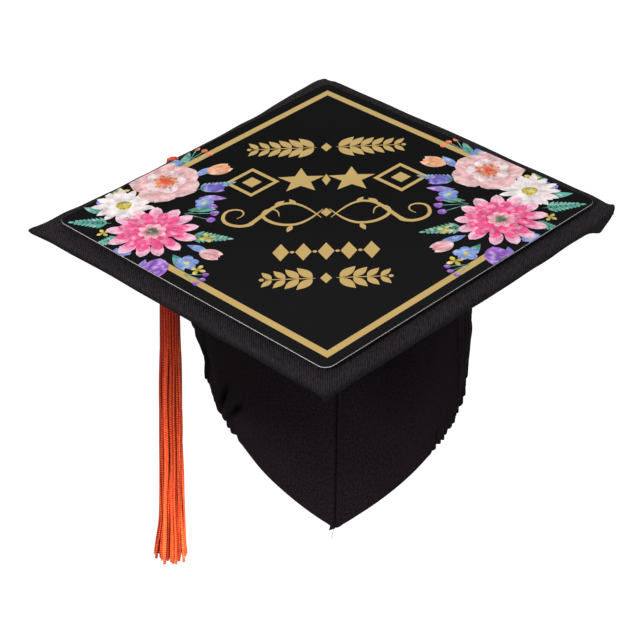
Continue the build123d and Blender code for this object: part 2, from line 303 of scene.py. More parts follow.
# %% Effect: broad and fine blotches, for wear, dye and paint
# A value round 1 that wanders by Amount, at two scales.
blotches, taken, given = group("blotches", ("Vector", "Scale", "Amount"), ("Shade", "Fine"))
broad = add(blotches, "TexNoise", {"Vector": taken["Vector"], "Scale": taken["Scale"], "Detail": 4.0})
finer = calc(blotches, "MULTIPLY", taken["Scale"], 14.0)
fine = add(blotches, "TexNoise", {"Vector": taken["Vector"], "Scale": finer, "Detail": 3.0})
both = calc(blotches, "MULTIPLY_ADD", fine.outputs[0], 0.4, broad.outputs[0])
wander = calc(blotches, "MULTIPLY", calc(blotches, "SUBTRACT", both, 0.7), taken["Amount"])
fill(blotches, given, {"Shade": calc(blotches, "ADD", wander, 1.0), "Fine": fine.outputs[0]})
print("effect", blotches.name)

# %% Effect: the plaits of a knitted chain
# V stitches along a yarn: U runs once round it and V is the length in metres.
plaits, taken, given = group("plaits", ("Vector", "Pitch", "Turns"), ("Shade", "Height"))
place = add(plaits, "SeparateXYZ", {0: taken["Vector"]}).outputs
zigzag = calc(plaits, "PINGPONG", calc(plaits, "MULTIPLY", place[0], taken["Turns"]), 0.5)
slanted = calc(plaits, "MULTIPLY_ADD", zigzag, 1.1, calc(plaits, "DIVIDE", place[1], taken["Pitch"]))
wave = calc(plaits, "SINE", calc(plaits, "MULTIPLY", slanted, 2 * math.pi))
lift = calc(plaits, "MULTIPLY_ADD", wave, 0.5, 0.5)
# The shade is painted light on the stitches' crests and painted shade in their grooves.
fill(plaits, given, {"Shade": calc(plaits, "MULTIPLY_ADD", lift, 1.5, 0.2), "Height": lift})
print("effect", plaits.name)

# %% A material with its shader, ready for colour and bump
def finish_for(name, roughness, **constants):
    """A material, its node tree and its shader, with the even values on the shader's own sockets."""
    material = bpy.data.materials.new(name)
    material.use_nodes = True
    shader = material.node_tree.nodes["Principled BSDF"]
    even = {socket.replace("_", " "): value for socket, value in constants.items()}
    fill(material.node_tree, shader, {"Roughness": roughness, **even})
    return material, material.node_tree, shader


def place_of(tree, kind="Object"):
    """The Object or UV coordinates."""
    return tree.nodes.new("ShaderNodeTexCoord").outputs[kind]


def colour_times(tree, shader, colour, shade):
    """The base colour: one ink, or what a node gives, made lighter and darker by a shade."""
    if not isinstance(colour, bpy.types.NodeSocket):
        colour = colour[:3]
    mix = add(tree, "VectorMath", {0: colour, "Scale": shade}, operation="SCALE")
    tree.links.new(mix.outputs[0], shader.inputs["Base Color"])


def bump(tree, shader, height, depth):
    """Relief that is depth metres deep for a height of 1."""
    relief = add(tree, "Bump", {"Height": height, "Strength": 1.0, "Distance": depth})
    tree.links.new(relief.outputs[0], shader.inputs["Normal"])


def mottled(name, roughness, colour, scale, amount, relief=0.0, stretch=None, **constants):
    """A plain finish that blotches make a little uneven, in colour and, with some metres of relief, to the touch."""
    material, tree, shader = finish_for(name, roughness, **constants)
    place = place_of(tree)
    if stretch:
        place = add(tree, "Mapping", {0: place, "Scale": stretch}).outputs[0]
    spots = use(tree, blotches, Vector=place, Scale=scale, Amount=amount)
    colour_times(tree, shader, ink(*colour), spots.outputs["Shade"])
    if relief:
        bump(tree, shader, spots.outputs["Fine"], relief)
    return material


def dress(thing, *materials):
    """Gives a piece its materials in place of any it had."""
    thing.data.materials.clear()
    for material in materials:
        thing.data.materials.append(material)


# %% [markdown]
# ## The tassel's cord
# One cord is looped round the button. Both its ends come back to the knot on the tassel, so two strands lie side by
# side on the board, turn down over its edge and hang. Cord is soft but cannot stretch, so its line is one smooth
# spline through the whole route. Three twisted plies then follow that line, as in real cord.

# %% The cord's route, in the tassel's own upright plane
HEADING = 142.4  # degrees, from the button out to the tassel, seen from above
OUTWARD = np.array([*heading(HEADING), 0.0])
SIDEWAYS = np.array([-OUTWARD[1], OUTWARD[0], 0.0])
REACH = 130.43  # button's axis to the hanging strands
CORD_LEVEL = 8.6
LOOP_REACH, LOOP_HALF_WIDTH, LOOP_MOUTH = 5.6, 5.712, 5.33
INNER_HALF_GAP, EDGE_HALF_GAP, KNOT_HALF_GAP = 1.5, 1.15, 1.05  # from the middle line to a strand
STRAND_END = -56.2
EDGE_LEAD = 10.8  # six cord diameters
LOOP_LEAD = 2 * LOOP_HALF_WIDTH
SWING_LEVEL = 2.7
LEAN_COSINE, LEAN_SINE = heading(4.5)  # degrees out of plumb, towards the left corner


def leaning(x, y, z):
    """Tips what hangs under the swing point towards -X."""
    swing_x = REACH * OUTWARD[0]
    along, up = x - swing_x, z - SWING_LEVEL
    return swing_x + along * LEAN_COSINE + up * LEAN_SINE, y, SWING_LEVEL - along * LEAN_SINE + up * LEAN_COSINE


def in_tassel_plane(out, side, z):
    """A place in the cap's frame from the distance out, the distance sideways and the level before leaning."""
    x, y, _ = out * OUTWARD + side * SIDEWAYS
    return leaning(x, y, z) if z < SWING_LEVEL else (x, y, z)


half_route = [
    (REACH, KNOT_HALF_GAP, STRAND_END),
    (REACH, EDGE_HALF_GAP, CORD_LEVEL - EDGE_LEAD),
    (REACH, EDGE_HALF_GAP, CORD_LEVEL),
    (REACH - EDGE_LEAD, INNER_HALF_GAP, CORD_LEVEL),
    (LOOP_LEAD - LOOP_REACH, LOOP_MOUTH, CORD_LEVEL),
    (-LOOP_REACH, LOOP_HALF_WIDTH, CORD_LEVEL),
]
route = half_route + [(out, -side, z) for out, side, z in reversed(half_route)]
route = [in_tassel_plane(*place) for place in route]
print("route of", len(route), "points")

# %% The smooth line through the route
CORD_RINGS = 640


def smooth_line(places):
    """The points that Blender gives for a NURBS spline with these control points."""
    curve = bpy.data.curves.new("line", "CURVE")
    curve.dimensions = "3D"
    spline = curve.splines.new("NURBS")
    spline.points.add(len(places) - 1)
    for point, place in zip(spline.points, places):
        point.co = (*metres(place), 1.0)
    spline.order_u, spline.use_endpoint_u, spline.resolution_u = 3, True, 24
    guide = bpy.data.objects.new("line", curve)
    bpy.context.collection.objects.link(guide)
    drawn = bpy.data.meshes.new_from_object(guide)
    line = np.array([vertex.co for vertex in drawn.vertices]) / MM
    discard(guide)
    bpy.data.meshes.remove(drawn)
    bpy.data.curves.remove(curve)
    return line


def length_along(line):
    """The distance along a line at each of its points."""
    return np.concatenate([[0], np.cumsum(np.linalg.norm(np.diff(line, axis=0), axis=1))])


def directions(line):
    """The line's direction at each of its points."""
    run = np.gradient(line, axis=0)
    return run / np.linalg.norm(run, axis=1)[:, None]


def evenly(line, count):
    """The same line with its points at equal distances."""
    run = length_along(line)
    even = np.linspace(0, run[-1], count)
    return np.column_stack([np.interp(even, run, line[:, axis]) for axis in range(3)])


cord_line = evenly(smooth_line(route), CORD_RINGS)
print("cord length", round(length_along(cord_line)[-1], 1), "mm")

# %% Tubes that follow a line
def tube_blank(name, sides, rings):
    """An upright closed tube, 1 mm in radius and length, in equal rings, as the blank for every yarn."""
    bpy.ops.mesh.primitive_cylinder_add(vertices=sides, radius=MM, depth=MM, end_fill_type="TRIFAN")
    tube = named(name)
    choose(tube, "EDGE", lambda x, y, z, run: np.abs(run[:, 2]) > 0.5)
    bpy.ops.mesh.subdivide(number_cuts=rings - 2)
    leave_edit()
    bpy.ops.object.shade_smooth()
    return tube


def frames_of(line):
    """Two directions square to the line at each point, turned as little as possible from one to the next."""
    run = directions(line)
    side = np.cross(run[0], (0.31, 0.87, 0.38))  # any direction that no cord or yarn here starts in
    sides = []
    for step in run:
        side = side - side.dot(step) * step
        side = side / np.linalg.norm(side)
        sides.append(side)
    sides = np.array(sides)
    return sides, np.cross(run, sides)


def openness(thing, values):
    """The attribute "open": how much light reaches each point, less in a fold or between strands."""
    thing.data.attributes.new("open", "FLOAT", "POINT").data.foreach_set("value", values)


def lay_tube(blank, line, radius, middle=None, painted_brightness=1.0, start=0.0):
    """A copy of the blank with its own mesh, its rings centred on the line's points; UV is the turn and the length.

    Its attribute "open" is painted light: as bright as the given level says where it faces away from the bundle's
    middle line, and painted shade between the strands.
    """
    tube = bpy.data.objects.new(blank.name + "_laid", blank.data.copy())
    bpy.context.collection.objects.link(tube)
    x, y, z = points_of(blank).T
    ring = np.rint((z + 0.5) * (len(line) - 1)).astype(int)
    first, second = frames_of(line)
    wide = np.broadcast_to(radius, len(line))[ring]
    around = (x * wide)[:, None] * first[ring] + (y * wide)[:, None] * second[ring]
    tube.data.vertices.foreach_set("co", ((line[ring] + around) * MM).ravel())
    corner = read(tube.data.loops, "vertex_index", 1, np.int32).ravel()
    turn_share = np.arctan2(y, x)[corner] / (2 * math.pi) % 1.0
    uv = np.column_stack([turn_share, (start + length_along(line)[ring][corner]) * MM])
    tube.data.uv_layers[0].data.foreach_set("uv", uv.ravel())
    facing = np.ones(len(x))
    if middle is not None:
        away = line - middle
        away /= np.maximum(np.linalg.norm(away, axis=1), 1e-6)[:, None]
        facing = x * np.sum(first * away, axis=1)[ring] + y * np.sum(second * away, axis=1)[ring]
    # Painted light and shade, kept in the attribute "open".
    openness(tube, np.broadcast_to(painted_brightness, len(line))[ring] * smooth(facing, -0.8, 0.7))
    tube.data.update()
    return tube


# %% The cord: three plies round the line
PLY_OFFSET, PLY_RADIUS, PLY_PITCH = 0.46, 0.47, 5.2


def twisted(name, line, sides=8):
    """Three plies twisted about the line, joined into one mesh."""
    first, second = frames_of(line)
    blank = tube_blank("ply_blank", sides, len(line))
    plies = []
    for ply in range(3):
        angle = 2 * math.pi * (length_along(line) / PLY_PITCH + ply / 3)
        offset = np.cos(angle)[:, None] * first + np.sin(angle)[:, None] * second
        # Painted shade: each ply is darker where it faces the other plies.
        plies.append(lay_tube(blank, line + PLY_OFFSET * offset, PLY_RADIUS, line))
    discard(blank)
    return joined(name, plies)


tassel_cord = twisted("tassel_cord", cord_line)
print("cord", len(tassel_cord.data.polygons), "faces")

# %% What the cord's yarn looks like
# The yarn's colour in the light, and the deep red that stands for it in painted shade.
YARN_ORANGE = ink(255, 98, 52)
YARN_SHADED = ink(158, 10, 1)


def yarn_finish(name, pitch, turns, depth, colour=YARN_ORANGE, shaded=YARN_SHADED):
    """Shiny rayon yarn, plaited along its own length. Its colour runs from the bright ink to the ink for painted
    shade: painted shade between its stitches and strands, and wherever the attribute "open" is low.
    """
    material, tree, shader = finish_for(
        name, 0.42, Specular_IOR_Level=0.16, Sheen_Weight=0.04, Sheen_Roughness=0.4, Sheen_Tint=ink(255, 150, 110)
    )
    plait = use(tree, plaits, Vector=place_of(tree, "UV"), Pitch=pitch, Turns=turns)
    fuzz = use(tree, blotches, Vector=place_of(tree), Scale=500.0, Amount=2.0)
    shade = calc(tree, "MULTIPLY", plait.outputs["Shade"], fuzz.outputs["Shade"])
    # Painted light and shade: the attribute "open" mixes the bright ink towards the shaded ink and scales the colour.
    clear = add(tree, "Attribute", attribute_name="open").outputs["Fac"]
    reach = [bright - dark for bright, dark in zip(colour[:3], shaded[:3])]
    facing = calc(tree, "MULTIPLY", clear, shade)
    tint = add(tree, "VectorMath", {0: reach, 1: facing, 2: shaded[:3]}, operation="MULTIPLY_ADD")
    colour_times(tree, shader, tint.outputs[0], calc(tree, "MULTIPLY_ADD", clear, 0.9, 0.3))
    bump(tree, shader, plait.outputs["Height"], depth)
    return material


cord_yarn = yarn_finish("cord_yarn", 0.0011, 2.0, 0.00012)
dress(tassel_cord, cord_yarn)

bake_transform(tassel_cord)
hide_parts("tassel_cord_loop", "tassel_cord_drop")

# %% [markdown]
# ## Floor, light and air
# The cap is held in the air, so the floor is far below it, where even the underside can be looked at.
# Two large soft lamps and an even sky light it. What the camera, gloss and glass see beyond it is plain white.

# %% Floor
FLOOR_LEVEL = -2.4  # metres
bpy.ops.mesh.primitive_grid_add(x_subdivisions=8, y_subdivisions=8, size=60, location=(0, 0, FLOOR_LEVEL))
floor = named("studio_floor")
pale = mottled("pale_floor", 0.9, (214, 214, 214), 3.0, 0.02)
pale_tree = pale.node_tree
seen = pale_tree.nodes.new("ShaderNodeLightPath").outputs["Is Camera Ray"]
fill(pale_tree, pale_tree.nodes["Principled BSDF"], {
    "Emission Color": (1, 1, 1, 1), "Emission Strength": calc(pale_tree, "MULTIPLY", seen, 0.75)
})
dress(floor, pale)

# %% Lamps and sky
def soft_lamp(name, place, size, power):
    """A square area lamp that looks at the cap."""
    bpy.ops.object.light_add(type="AREA", location=place)
    lamp = named(name)
    lamp.data.shape, lamp.data.size, lamp.data.energy = "SQUARE", size, power
    lamp.rotation_euler = (Vector((0, 0, -0.05)) - Vector(place)).to_track_quat("-Z", "Y").to_euler()


soft_lamp("key_lamp", (-1.2, -2.1, 1.6), 1.0, 68)
soft_lamp("fill_lamp", (1.4, -1.9, 1.2), 1.2, 6)

SKY_LIGHT = 0.40
world = bpy.data.worlds.new("studio_air")
bpy.context.scene.world = world
world.use_nodes = True
sky = world.node_tree
rays = sky.nodes.new("ShaderNodeLightPath").outputs
direct = calc(sky, "MAXIMUM", rays["Is Camera Ray"], rays["Is Glossy Ray"])
direct = calc(sky, "MAXIMUM", direct, rays["Is Transmission Ray"])
fill(sky, sky.nodes["Background"], {
    "Color": (1, 1, 1, 1), "Strength": calc(sky, "MULTIPLY_ADD", direct, 1 - SKY_LIGHT, SKY_LIGHT)
})
bpy.context.scene.view_settings.view_transform = "Standard"

# %% [markdown]
# ## The board's cloth cover
# The cover is a flat cloth bag: a top and a bottom panel, sewn together round the middle of the rim. The cloth is
# ribbed and is cut with its ribs from the front corner to the back corner. It is drawn over the board, so the rim is
# a soft roll. At the corners there is spare cloth: one corner is drawn out to a blunt nose, and one bags downwards.
# Each panel starts as a grid whose lines lie closer near the edges. The outline is extruded step by step and laid
# round the rim, and then the whole panel is moved softly, so the two panels keep meeting at their seam.

# %% A panel blank: a square grid with a rim of extruded rings
COVER_HALF = 128.0
ROLL_RADIUS = 3.0
ROLL_STEPS = 7
CORNER_RADIUS = 4.0
INNER_HALF = COVER_HALF - CORNER_RADIUS
FINE_FROM = 110  # from here outwards the grid's lines lie a millimetre apart
fine_lines = np.concatenate([
    np.arange(FINE_FROM, INNER_HALF, 1.0), INNER_HALF + (CORNER_RADIUS - ROLL_RADIUS) * np.linspace(0, 1, 5)
])
GRID_LINES = np.concatenate([-fine_lines[::-1], np.linspace(-FINE_FROM, FINE_FROM, 68)[1:-1], fine_lines])


def panel_blank(name):
    """A square grid with ROLL_STEPS + 1 rings extruded downwards from its outline, one millimetre each."""
    cells = len(GRID_LINES) - 1
    bpy.ops.mesh.primitive_grid_add(x_subdivisions=cells, y_subdivisions=cells, size=2 * MM)
    panel = named(name)

    def on_line(share):
        return GRID_LINES[np.rint((share + 1) / 2 * cells).astype(int)]

    mould(panel, lambda x, y, z: (on_line(x), on_line(y), z))
    edit_all(panel)
    bpy.ops.mesh.select_mode(type="EDGE")
    bpy.ops.mesh.select_all(action="DESELECT")
    bpy.ops.mesh.select_non_manifold()
    for ring in range(ROLL_STEPS + 1):
        bpy.ops.mesh.extrude_region_move(TRANSFORM_OT_translate={"value": (0, 0, -MM)})
    leave_edit()
    return panel


# %% Laying the blank over the board
def over_board(x, y, z):
    """Upright rings become the rolled rim, corners become round, and the square turns to stand on its corner."""
    core_x, core_y = np.clip(x, -INNER_HALF, INNER_HALF), np.clip(y, -INNER_HALF, INNER_HALF)
    off_x, off_y = x - core_x, y - core_y
    off = np.hypot(off_x, off_y)
    angle = np.clip(-z / ROLL_STEPS, 0, 1) * math.pi / 2
    beyond = np.where(off > 0.99, 1 + ROLL_RADIUS * np.where(z < -0.5, np.sin(angle), 0), off)
    scale = np.where(off > 0, beyond / np.maximum(off, 1e-6), 0)
    level = BOARD_TOP - ROLL_RADIUS + ROLL_RADIUS * np.cos(angle)
    level = np.where(-z > ROLL_STEPS + 0.5, SEAM_LEVEL, level)
    flat_x, flat_y = core_x + off_x * scale, core_y + off_y * scale
    return (flat_x - flat_y) / math.sqrt(2), (flat_x + flat_y) / math.sqrt(2), level


# %% Soft moves: nose, bag, nub and easy waves
TIP = COVER_HALF * math.sqrt(2) - CORNER_RADIUS * (math.sqrt(2) - 1)  # the rounded corners' distance
SLACK_REACH = 22  # how far a drawn corner's slack runs into the board
RIM_RISES = (  # the edge's side in x and in y, how far out along x, half width, rise of the upper and the lower edge
    (-1, 1, 165, 8, 1.0, 0.3), (-1, 1, 8, 6, 0.8, 0.3), (1, 1, 126, 15, -1.1, -0.5), (1, 1, 167, 7, 0.7, 0.2),
    (-1, -1, 156, 13, -0.1, -0.8), (-1, -1, 127, 12, 0.2, 0.8),
)


def at_edge(side_x, side_y, x, y):
    """1 on one edge of the board, which is named by its sides in x and y, and 0 from 14 mm inside it."""
    return smooth(side_x * x + side_y * y, TIP - 14, TIP - 1)


def slack(x, y, z):
    """How drawn cloth differs from a machined shape. Both panels use it, so that their seam stays closed."""
    low_share = (BOARD_TOP - z) / (BOARD_TOP - BOARD_BOTTOM)

    # The left corner is a blunt nose.
    nose = np.clip(1 - np.hypot(x + TIP, 1.5 * y) / SLACK_REACH, 0, 1) ** 1.6
    x, z = x - 5.6 * nose, z + nose * (0.5 * (SEAM_LEVEL + 1.2 - z) + 0.5)

    # The right corner bags, under a small ear, and the cloth next to it hangs a little.
    from_right = np.clip(1 - np.hypot(x - TIP + 8, 0.8 * (y + 3)) / SLACK_REACH, 0, 1)
    bag = smooth(from_right) * (1 - 0.35 * smooth(x - y, TIP - 8, TIP + 4))
    right_front = at_edge(1, -1, x, y) * smooth(x, 40, 90) * (1 - smooth(x, 126, 150))
    ear = bell(x, TIP, 3.5) * bell(y, 0, 5.0) * (1 - low_share)
    x, z = x + 0.8 * ear, z + 2.2 * ear
    z = z - 10.0 * bag * low_share**1.1 - 1.1 * right_front * low_share
    x = x - smooth(x, TIP - 16, TIP) * (1.4 + 4.0 * low_share**1.2)

    # The front corner has a nub.
    nub = np.exp(-(((x + 0.6) / 2.2) ** 4)) * bell(y, 2.2 - TIP, 3.0)
    z = z - 2.3 * nub * smooth(low_share, 0.55, 1)

    # The back edges are pulled out and in, and the back corner is tucked.
    out = smooth(np.abs(x) + np.abs(y), TIP - 12, TIP)
    right_back = at_edge(1, 1, x, y) * smooth(y, 6, 60)
    left_back = at_edge(-1, 1, x, y) * smooth(y, 128, 166)
    hollow = at_edge(-1, 1, x, y) * smooth(y, 10, 60) * (1 - smooth(y, 90, 125))
    x, y = x + 1.2 * right_back - 2.4 * left_back + 0.8 * hollow, y + 1.2 * right_back + 2.2 * left_back - 0.8 * hollow
    z = z + (0.6 * right_back + 0.9 * left_back) * (1 - 0.5 * low_share)
    back_tip = bell(x, 0, 5.0) * bell(y, TIP, 5.0)
    y, z = y - 1.3 * back_tip, z - 1.2 * back_tip

    # Single rises along the rim, and easy waves all round it.
    for side_x, side_y, place, width, top_rise, foot_rise in RIM_RISES:
        along = at_edge(side_x, side_y, x, y) * bell(np.abs(x), place, width)
        z = z + along * (side_x * x > 0) * (side_y * y > 0) * (top_rise + (foot_rise - top_rise) * low_share)
    wave = np.sin(x / 9.0 + 0.6 * np.sin(y / 13.0)) + 0.7 * np.sin(x / 4.3 + y / 17.0 + 1.7)
    pull = out * 0.22 * (np.sin(x / 15.0 - y / 21.0) + 0.5 * np.sin(x / 5.1 + 0.4))
    reach = np.maximum(np.hypot(x, y), 1)
    return x + pull * x / reach, y + pull * y / reach, z + out * 0.16 * wave


# %% Cut, lay and thicken both panels
CLOTH = 0.7


def cover_panel(name, upward):
    """One finished panel of the cover, the bottom one mirrored about the rim's seam."""
    panel = mould(panel_blank(name), over_board)
    if not upward:
        mould(panel, lambda x, y, z: (x, y, 2 * SEAM_LEVEL - z))
        edit_all(panel)
        bpy.ops.mesh.flip_normals()
        leave_edit()
    thicken(mould(panel, slack), CLOTH, use_even_offset=False)
    declare(panel, "cap", "cover_cloth", name.replace("cloth", "panel"))
    return panel


cover_panels = cover_panel("cover_top_cloth", True), cover_panel("cover_bottom_cloth", False)

# %% Ribbed black cloth
EVEN_GRAIN, LONG_GRAIN = (0.8, 0.6, 1.0), (1.0, 0.3, 0.45)


def black_cloth(
    name, colour, kind, pitch, rib, cross, depth, stretch=EVEN_GRAIN, roughness=0.92, gloss=0.12, painted_light=False
):
    """Matt cloth. The threads are read from Object coordinates or, on a curved wall, from the cloth's own UV. With the
    last switch on, the attribute "open" paints light and shade into its colour.
    """
    material, tree, shader = finish_for(name, roughness, Specular_IOR_Level=gloss)
    weave = use(tree, threads, Vector=place_of(tree, kind), Pitch=pitch, Rib=rib, Cross=cross, Stretch=stretch)
    dye = use(tree, blotches, Vector=place_of(tree), Scale=22.0, Amount=0.35)
    shade = calc(tree, "MULTIPLY", weave.outputs["Shade"], dye.outputs["Shade"])
    # Painted light and shade: the colour is multiplied by the attribute "open".
    if painted_light:
        shade = calc(tree, "MULTIPLY", shade, add(tree, "Attribute", attribute_name="open").outputs["Fac"])
    colour_times(tree, shader, ink(*colour), shade)
    bump(tree, shader, weave.outputs["Height"], depth)
    return material


cover_cloth = black_cloth("cover_cloth", (39, 34, 38), "Object", 0.0013, 1.0, 0.25, 0.00016, LONG_GRAIN, painted_light=True)
for panel in cover_panels:
    dress(panel, cover_cloth)
    # Painted shade: the rim is made darker towards its foot and underside, a little less so on the right.
    x, y, z = points_of(panel).T
    fade = smooth((BOARD_TOP - z) / (BOARD_TOP - BOARD_BOTTOM), -0.15, 0.75)
    openness(panel, 1 - fade * (0.82 - 0.4 * smooth(x, -20, 40)))

# %% [markdown]
# ## The topper card
# The topper is thick white card, printed black on top and cut with round corners. The upper part of its cut edge
# is white and shows as a thin pale line round the print; the lower part is dark.

# %% Card blank
CARD_HALF = 117.5
CARD_CORNER = 6.3
CARD_EDGE = 0.16
HAIRLINE_EDGE = 0.2  # a grey hairline round the print, along the card's edge
CARD_THICK, CARD_MIDDLE = CARD_TOP - CARD_BOTTOM, (CARD_BOTTOM + CARD_TOP) / 2
PAPER_FOOT = CARD_BOTTOM + 0.64 * CARD_THICK  # where the cut edge turns from white to dark

bpy.ops.mesh.primitive_cube_add(size=1, location=(0, 0, CARD_MIDDLE * MM))
card = named("printed_card")
bpy.ops.transform.resize(value=metres((2 * CARD_HALF, 2 * CARD_HALF, CARD_THICK)))
bpy.ops.object.transform_apply(location=True, rotation=True, scale=True)
choose(card, "EDGE", lambda x, y, z, run: np.abs(run[:, 2]) > 0.5)
bpy.ops.mesh.subdivide(number_cuts=1)
leave_edit()
mould(card, lambda x, y, z: (x, y, np.where(np.abs(z - CARD_MIDDLE) < 0.05, PAPER_FOOT, z)))
choose(card, "EDGE", lambda x, y, z, run: np.abs(run[:, 2]) > 0.2)
bpy.ops.mesh.bevel(offset=CARD_CORNER * MM, segments=10, affect="EDGES")
choose(card, "EDGE", lambda x, y, z, run: (np.abs(run[:, 2]) < 0.1) & (z > CARD_TOP - 0.1))
bpy.ops.mesh.bevel(offset=CARD_EDGE * MM, segments=3, affect="EDGES")
choose(card, "FACE", lambda x, y, z, normal: normal[:, 2] > 0.95)
bpy.ops.mesh.inset(thickness=HAIRLINE_EDGE * MM)
leave_edit()
bpy.ops.transform.rotate(value=math.radians(45), orient_axis="Z", center_override=(0, 0, 0))
bpy.ops.object.transform_apply(location=True, rotation=True, scale=True)
bpy.ops.object.shade_smooth_by_angle(angle=math.radians(30))
print("card corner at", round(points_of(card)[:, 0].max(), 2))

# %% Card finishes: satin black print and white paper
print_black, tree, shader = finish_for("print_black", 0.6, Specular_IOR_Level=0.015)
press = use(tree, blotches, Vector=place_of(tree), Scale=40.0, Amount=0.25)
# Painted sheen: the print is made lighter towards the front of the card.
depth = add(tree, "SeparateXYZ", {0: place_of(tree)}).outputs[1]
painted_front_sheen = add(tree, "MapRange", {0: depth, 1: -0.13, 2: 0.06, 3: 1.75, 4: 0.8}, interpolation_type="SMOOTHSTEP")
colour_times(tree, shader, ink(16, 16, 17), calc(tree, "MULTIPLY", press.outputs["Shade"], painted_front_sheen.outputs[0]))
bump(tree, shader, press.outputs["Fine"], 0.00002)
card_white = mottled("card_white", 0.85, (196, 192, 190), 300.0, 0.3, 0.00006, Specular_IOR_Level=0.2)
grey_hairline_print = mottled("grey_hairline_print", 0.7, (84, 82, 82), 150.0, 0.9, Specular_IOR_Level=0.1)
dark_edge_band = mottled("dark_edge_band", 0.8, (22, 20, 21), 200.0, 0.5, Specular_IOR_Level=0.1)

dress(card, card_white, print_black, grey_hairline_print, dark_edge_band)
for face in card.data.polygons:
    if face.normal.z > 0.95:
        face.material_index = 1 if face.area > (CARD_HALF * MM) ** 2 else 2
    else:
        face.material_index = 3 if face.center.z < PAPER_FOOT * MM else 0
declare(card, "cap", "printed_card", "topper_card")

# %% [markdown]
# ## Gold print
# Flat gold ornament lies on the card as thin shapes: a square frame and five rows of old printers' ornament, with
# lozenges, stars, leaf garlands and a flourish. Each shape is modelled once as a small flat mesh and then copied.

# %% Blanks for flat shapes
SHEET_LIFT = 0.03  # one layer of print


def disc_blank(name, corners):
    """A flat disc of 1 mm radius with a ring inside, so that it can be bent to a star, a lozenge or a ring."""
    bpy.ops.mesh.primitive_circle_add(vertices=corners, radius=MM, fill_type="NGON")
    disc = named(name)
    edit_all(disc)
    bpy.ops.mesh.inset(thickness=0.4 * MM)
    bpy.ops.mesh.poke()
    leave_edit()
    return disc


def strip_blank(name, steps, across=2):
    """A flat strip from 0 to 1 mm along Y and half a millimetre to each side, for petals, leaves and strokes."""
    bpy.ops.mesh.primitive_grid_add(x_subdivisions=across, y_subdivisions=steps, size=MM, location=(0, 0.5 * MM, 0))
    strip = named(name)
    bpy.ops.object.transform_apply(location=True, rotation=True, scale=True)
    return strip


def stamp(blank, rule):
    """A copy of a blank with its own mesh, moved by the rule."""
    copy = bpy.data.objects.new(blank.name + "_stamp", blank.data.copy())
    bpy.context.collection.objects.link(copy)
    return mould(copy, rule)


def placed(x, y, at, turn, level):
    """Turns flat points by some degrees and sets them at a place and a level."""
    c, s = heading(turn)
    return at[0] + x * c - y * s, at[1] + x * s + y * c, level + 0 * x


STROKE_STEPS = 40
round_blank, square_blank = disc_blank("round_blank", 20), disc_blank("square_blank", 4)
star_blank, leaf_blank = disc_blank("star_blank", 10), strip_blank("leaf_blank", 8)
stroke_blank = strip_blank("stroke_blank", STROKE_STEPS, 1)

# %% A pen stroke
def pen_stroke(places, width, level, swell=1.0):
    """A stroke along a smooth line, thin at its ends and widest in its middle."""
    line = evenly(smooth_line([(x, y, 0) for x, y in places]), STROKE_STEPS + 1)
    run = directions(line)

    def rule(x, y, z):
        step = np.rint(y * STROKE_STEPS).astype(int)
        wide = x * width * (0.18 + 0.82 * np.clip(np.sin(math.pi * y), 0, 1) ** swell)
        return line[step, 0] - run[step, 1] * wide, line[step, 1] + run[step, 0] * wide, level + 0 * x

    return stamp(stroke_blank, rule)


# %% Gold shapes
GOLD_STEP = 0.003  # each gold shape lies this much over the last one
STAR_WAIST = 0.42
gold_shapes = []


def gold_level():
    """The level for the next gold shape."""
    return CARD_TOP + SHEET_LIFT + GOLD_STEP * (len(gold_shapes) % 12)


def gild(blank, at, turn, shape):
    """Adds a gold shape: shape(x, y) bends the blank, which is then turned and set in its place."""
    gold_shapes.append(stamp(blank, lambda x, y, z: placed(*shape(x, y), at, turn, gold_level())))


def lozenge(at, width, height):
    """A square on its corner."""
    gild(square_blank, at, 0, lambda x, y: (x * width / 2, y * height / 2))


def dot(at, radius):
    """A full stop."""
    gild(round_blank, at, 0, lambda x, y: (x * radius, y * radius))


def star(at, radius):
    """Every second corner is drawn in towards the middle."""

    def shape(x, y):
        corner = np.rint(np.arctan2(y, x) / (math.pi / 5) - 0.5).astype(int) % 2
        reach = radius * np.where(corner == 0, 1.0, STAR_WAIST)
        return x * reach, y * reach

    gild(star_blank, at, 0, shape)


def leaf(at, length, width, turn):
    """A pointed leaf that starts at a place and runs along its own Y."""
    gild(leaf_blank, at, turn, lambda x, y: (x * width * np.sin(math.pi * y**0.85), y * length))


def ring(at, radius, width):
    """A line round a lozenge: its inner ring opened to a hole."""
    shape = stamp(square_blank, lambda x, y, z: placed(x * radius, y * radius, at, 0, gold_level()))
    choose(shape, "FACE", lambda x, y, z, normal: np.hypot(x - at[0], y - at[1]) < 0.45 * radius)
    bpy.ops.mesh.delete(type="FACE")
    leave_edit()

    def rule(x, y, z):
        off_x, off_y = x - at[0], y - at[1]
        reach = np.hypot(off_x, off_y)
        scale = np.where(reach < 0.8 * radius, (radius - width) / np.maximum(reach, 1e-6), 1)
        return at[0] + off_x * scale, at[1] + off_y * scale, z

    gold_shapes.append(mould(shape, rule))


# %% The frame: two chevrons that stop under the flowers
FRAME_OUTER, FRAME_INNER = 154.9, 148.1  # half diagonals
FRAME_END = 100.0  # from the middle line
FRAME_SHIFT = 0.7  # the print sits a little to the right on its card


def chevron(sign):
    """Half of the square frame, from one flower spray over a corner to the other spray."""

    def rule(x, y, z):
        out = FRAME_INNER + (x + 0.5) * (FRAME_OUTER - FRAME_INNER)
        side = (2 * y - 1) * FRAME_END
        return side + FRAME_SHIFT, sign * (out - np.abs(side)), CARD_TOP + SHEET_LIFT + 0 * x

    return stamp(stroke_blank, rule)


frame_lines = [chevron(1), chevron(-1)]
print("frame", 2 * FRAME_OUTER, "mm from corner to corner")

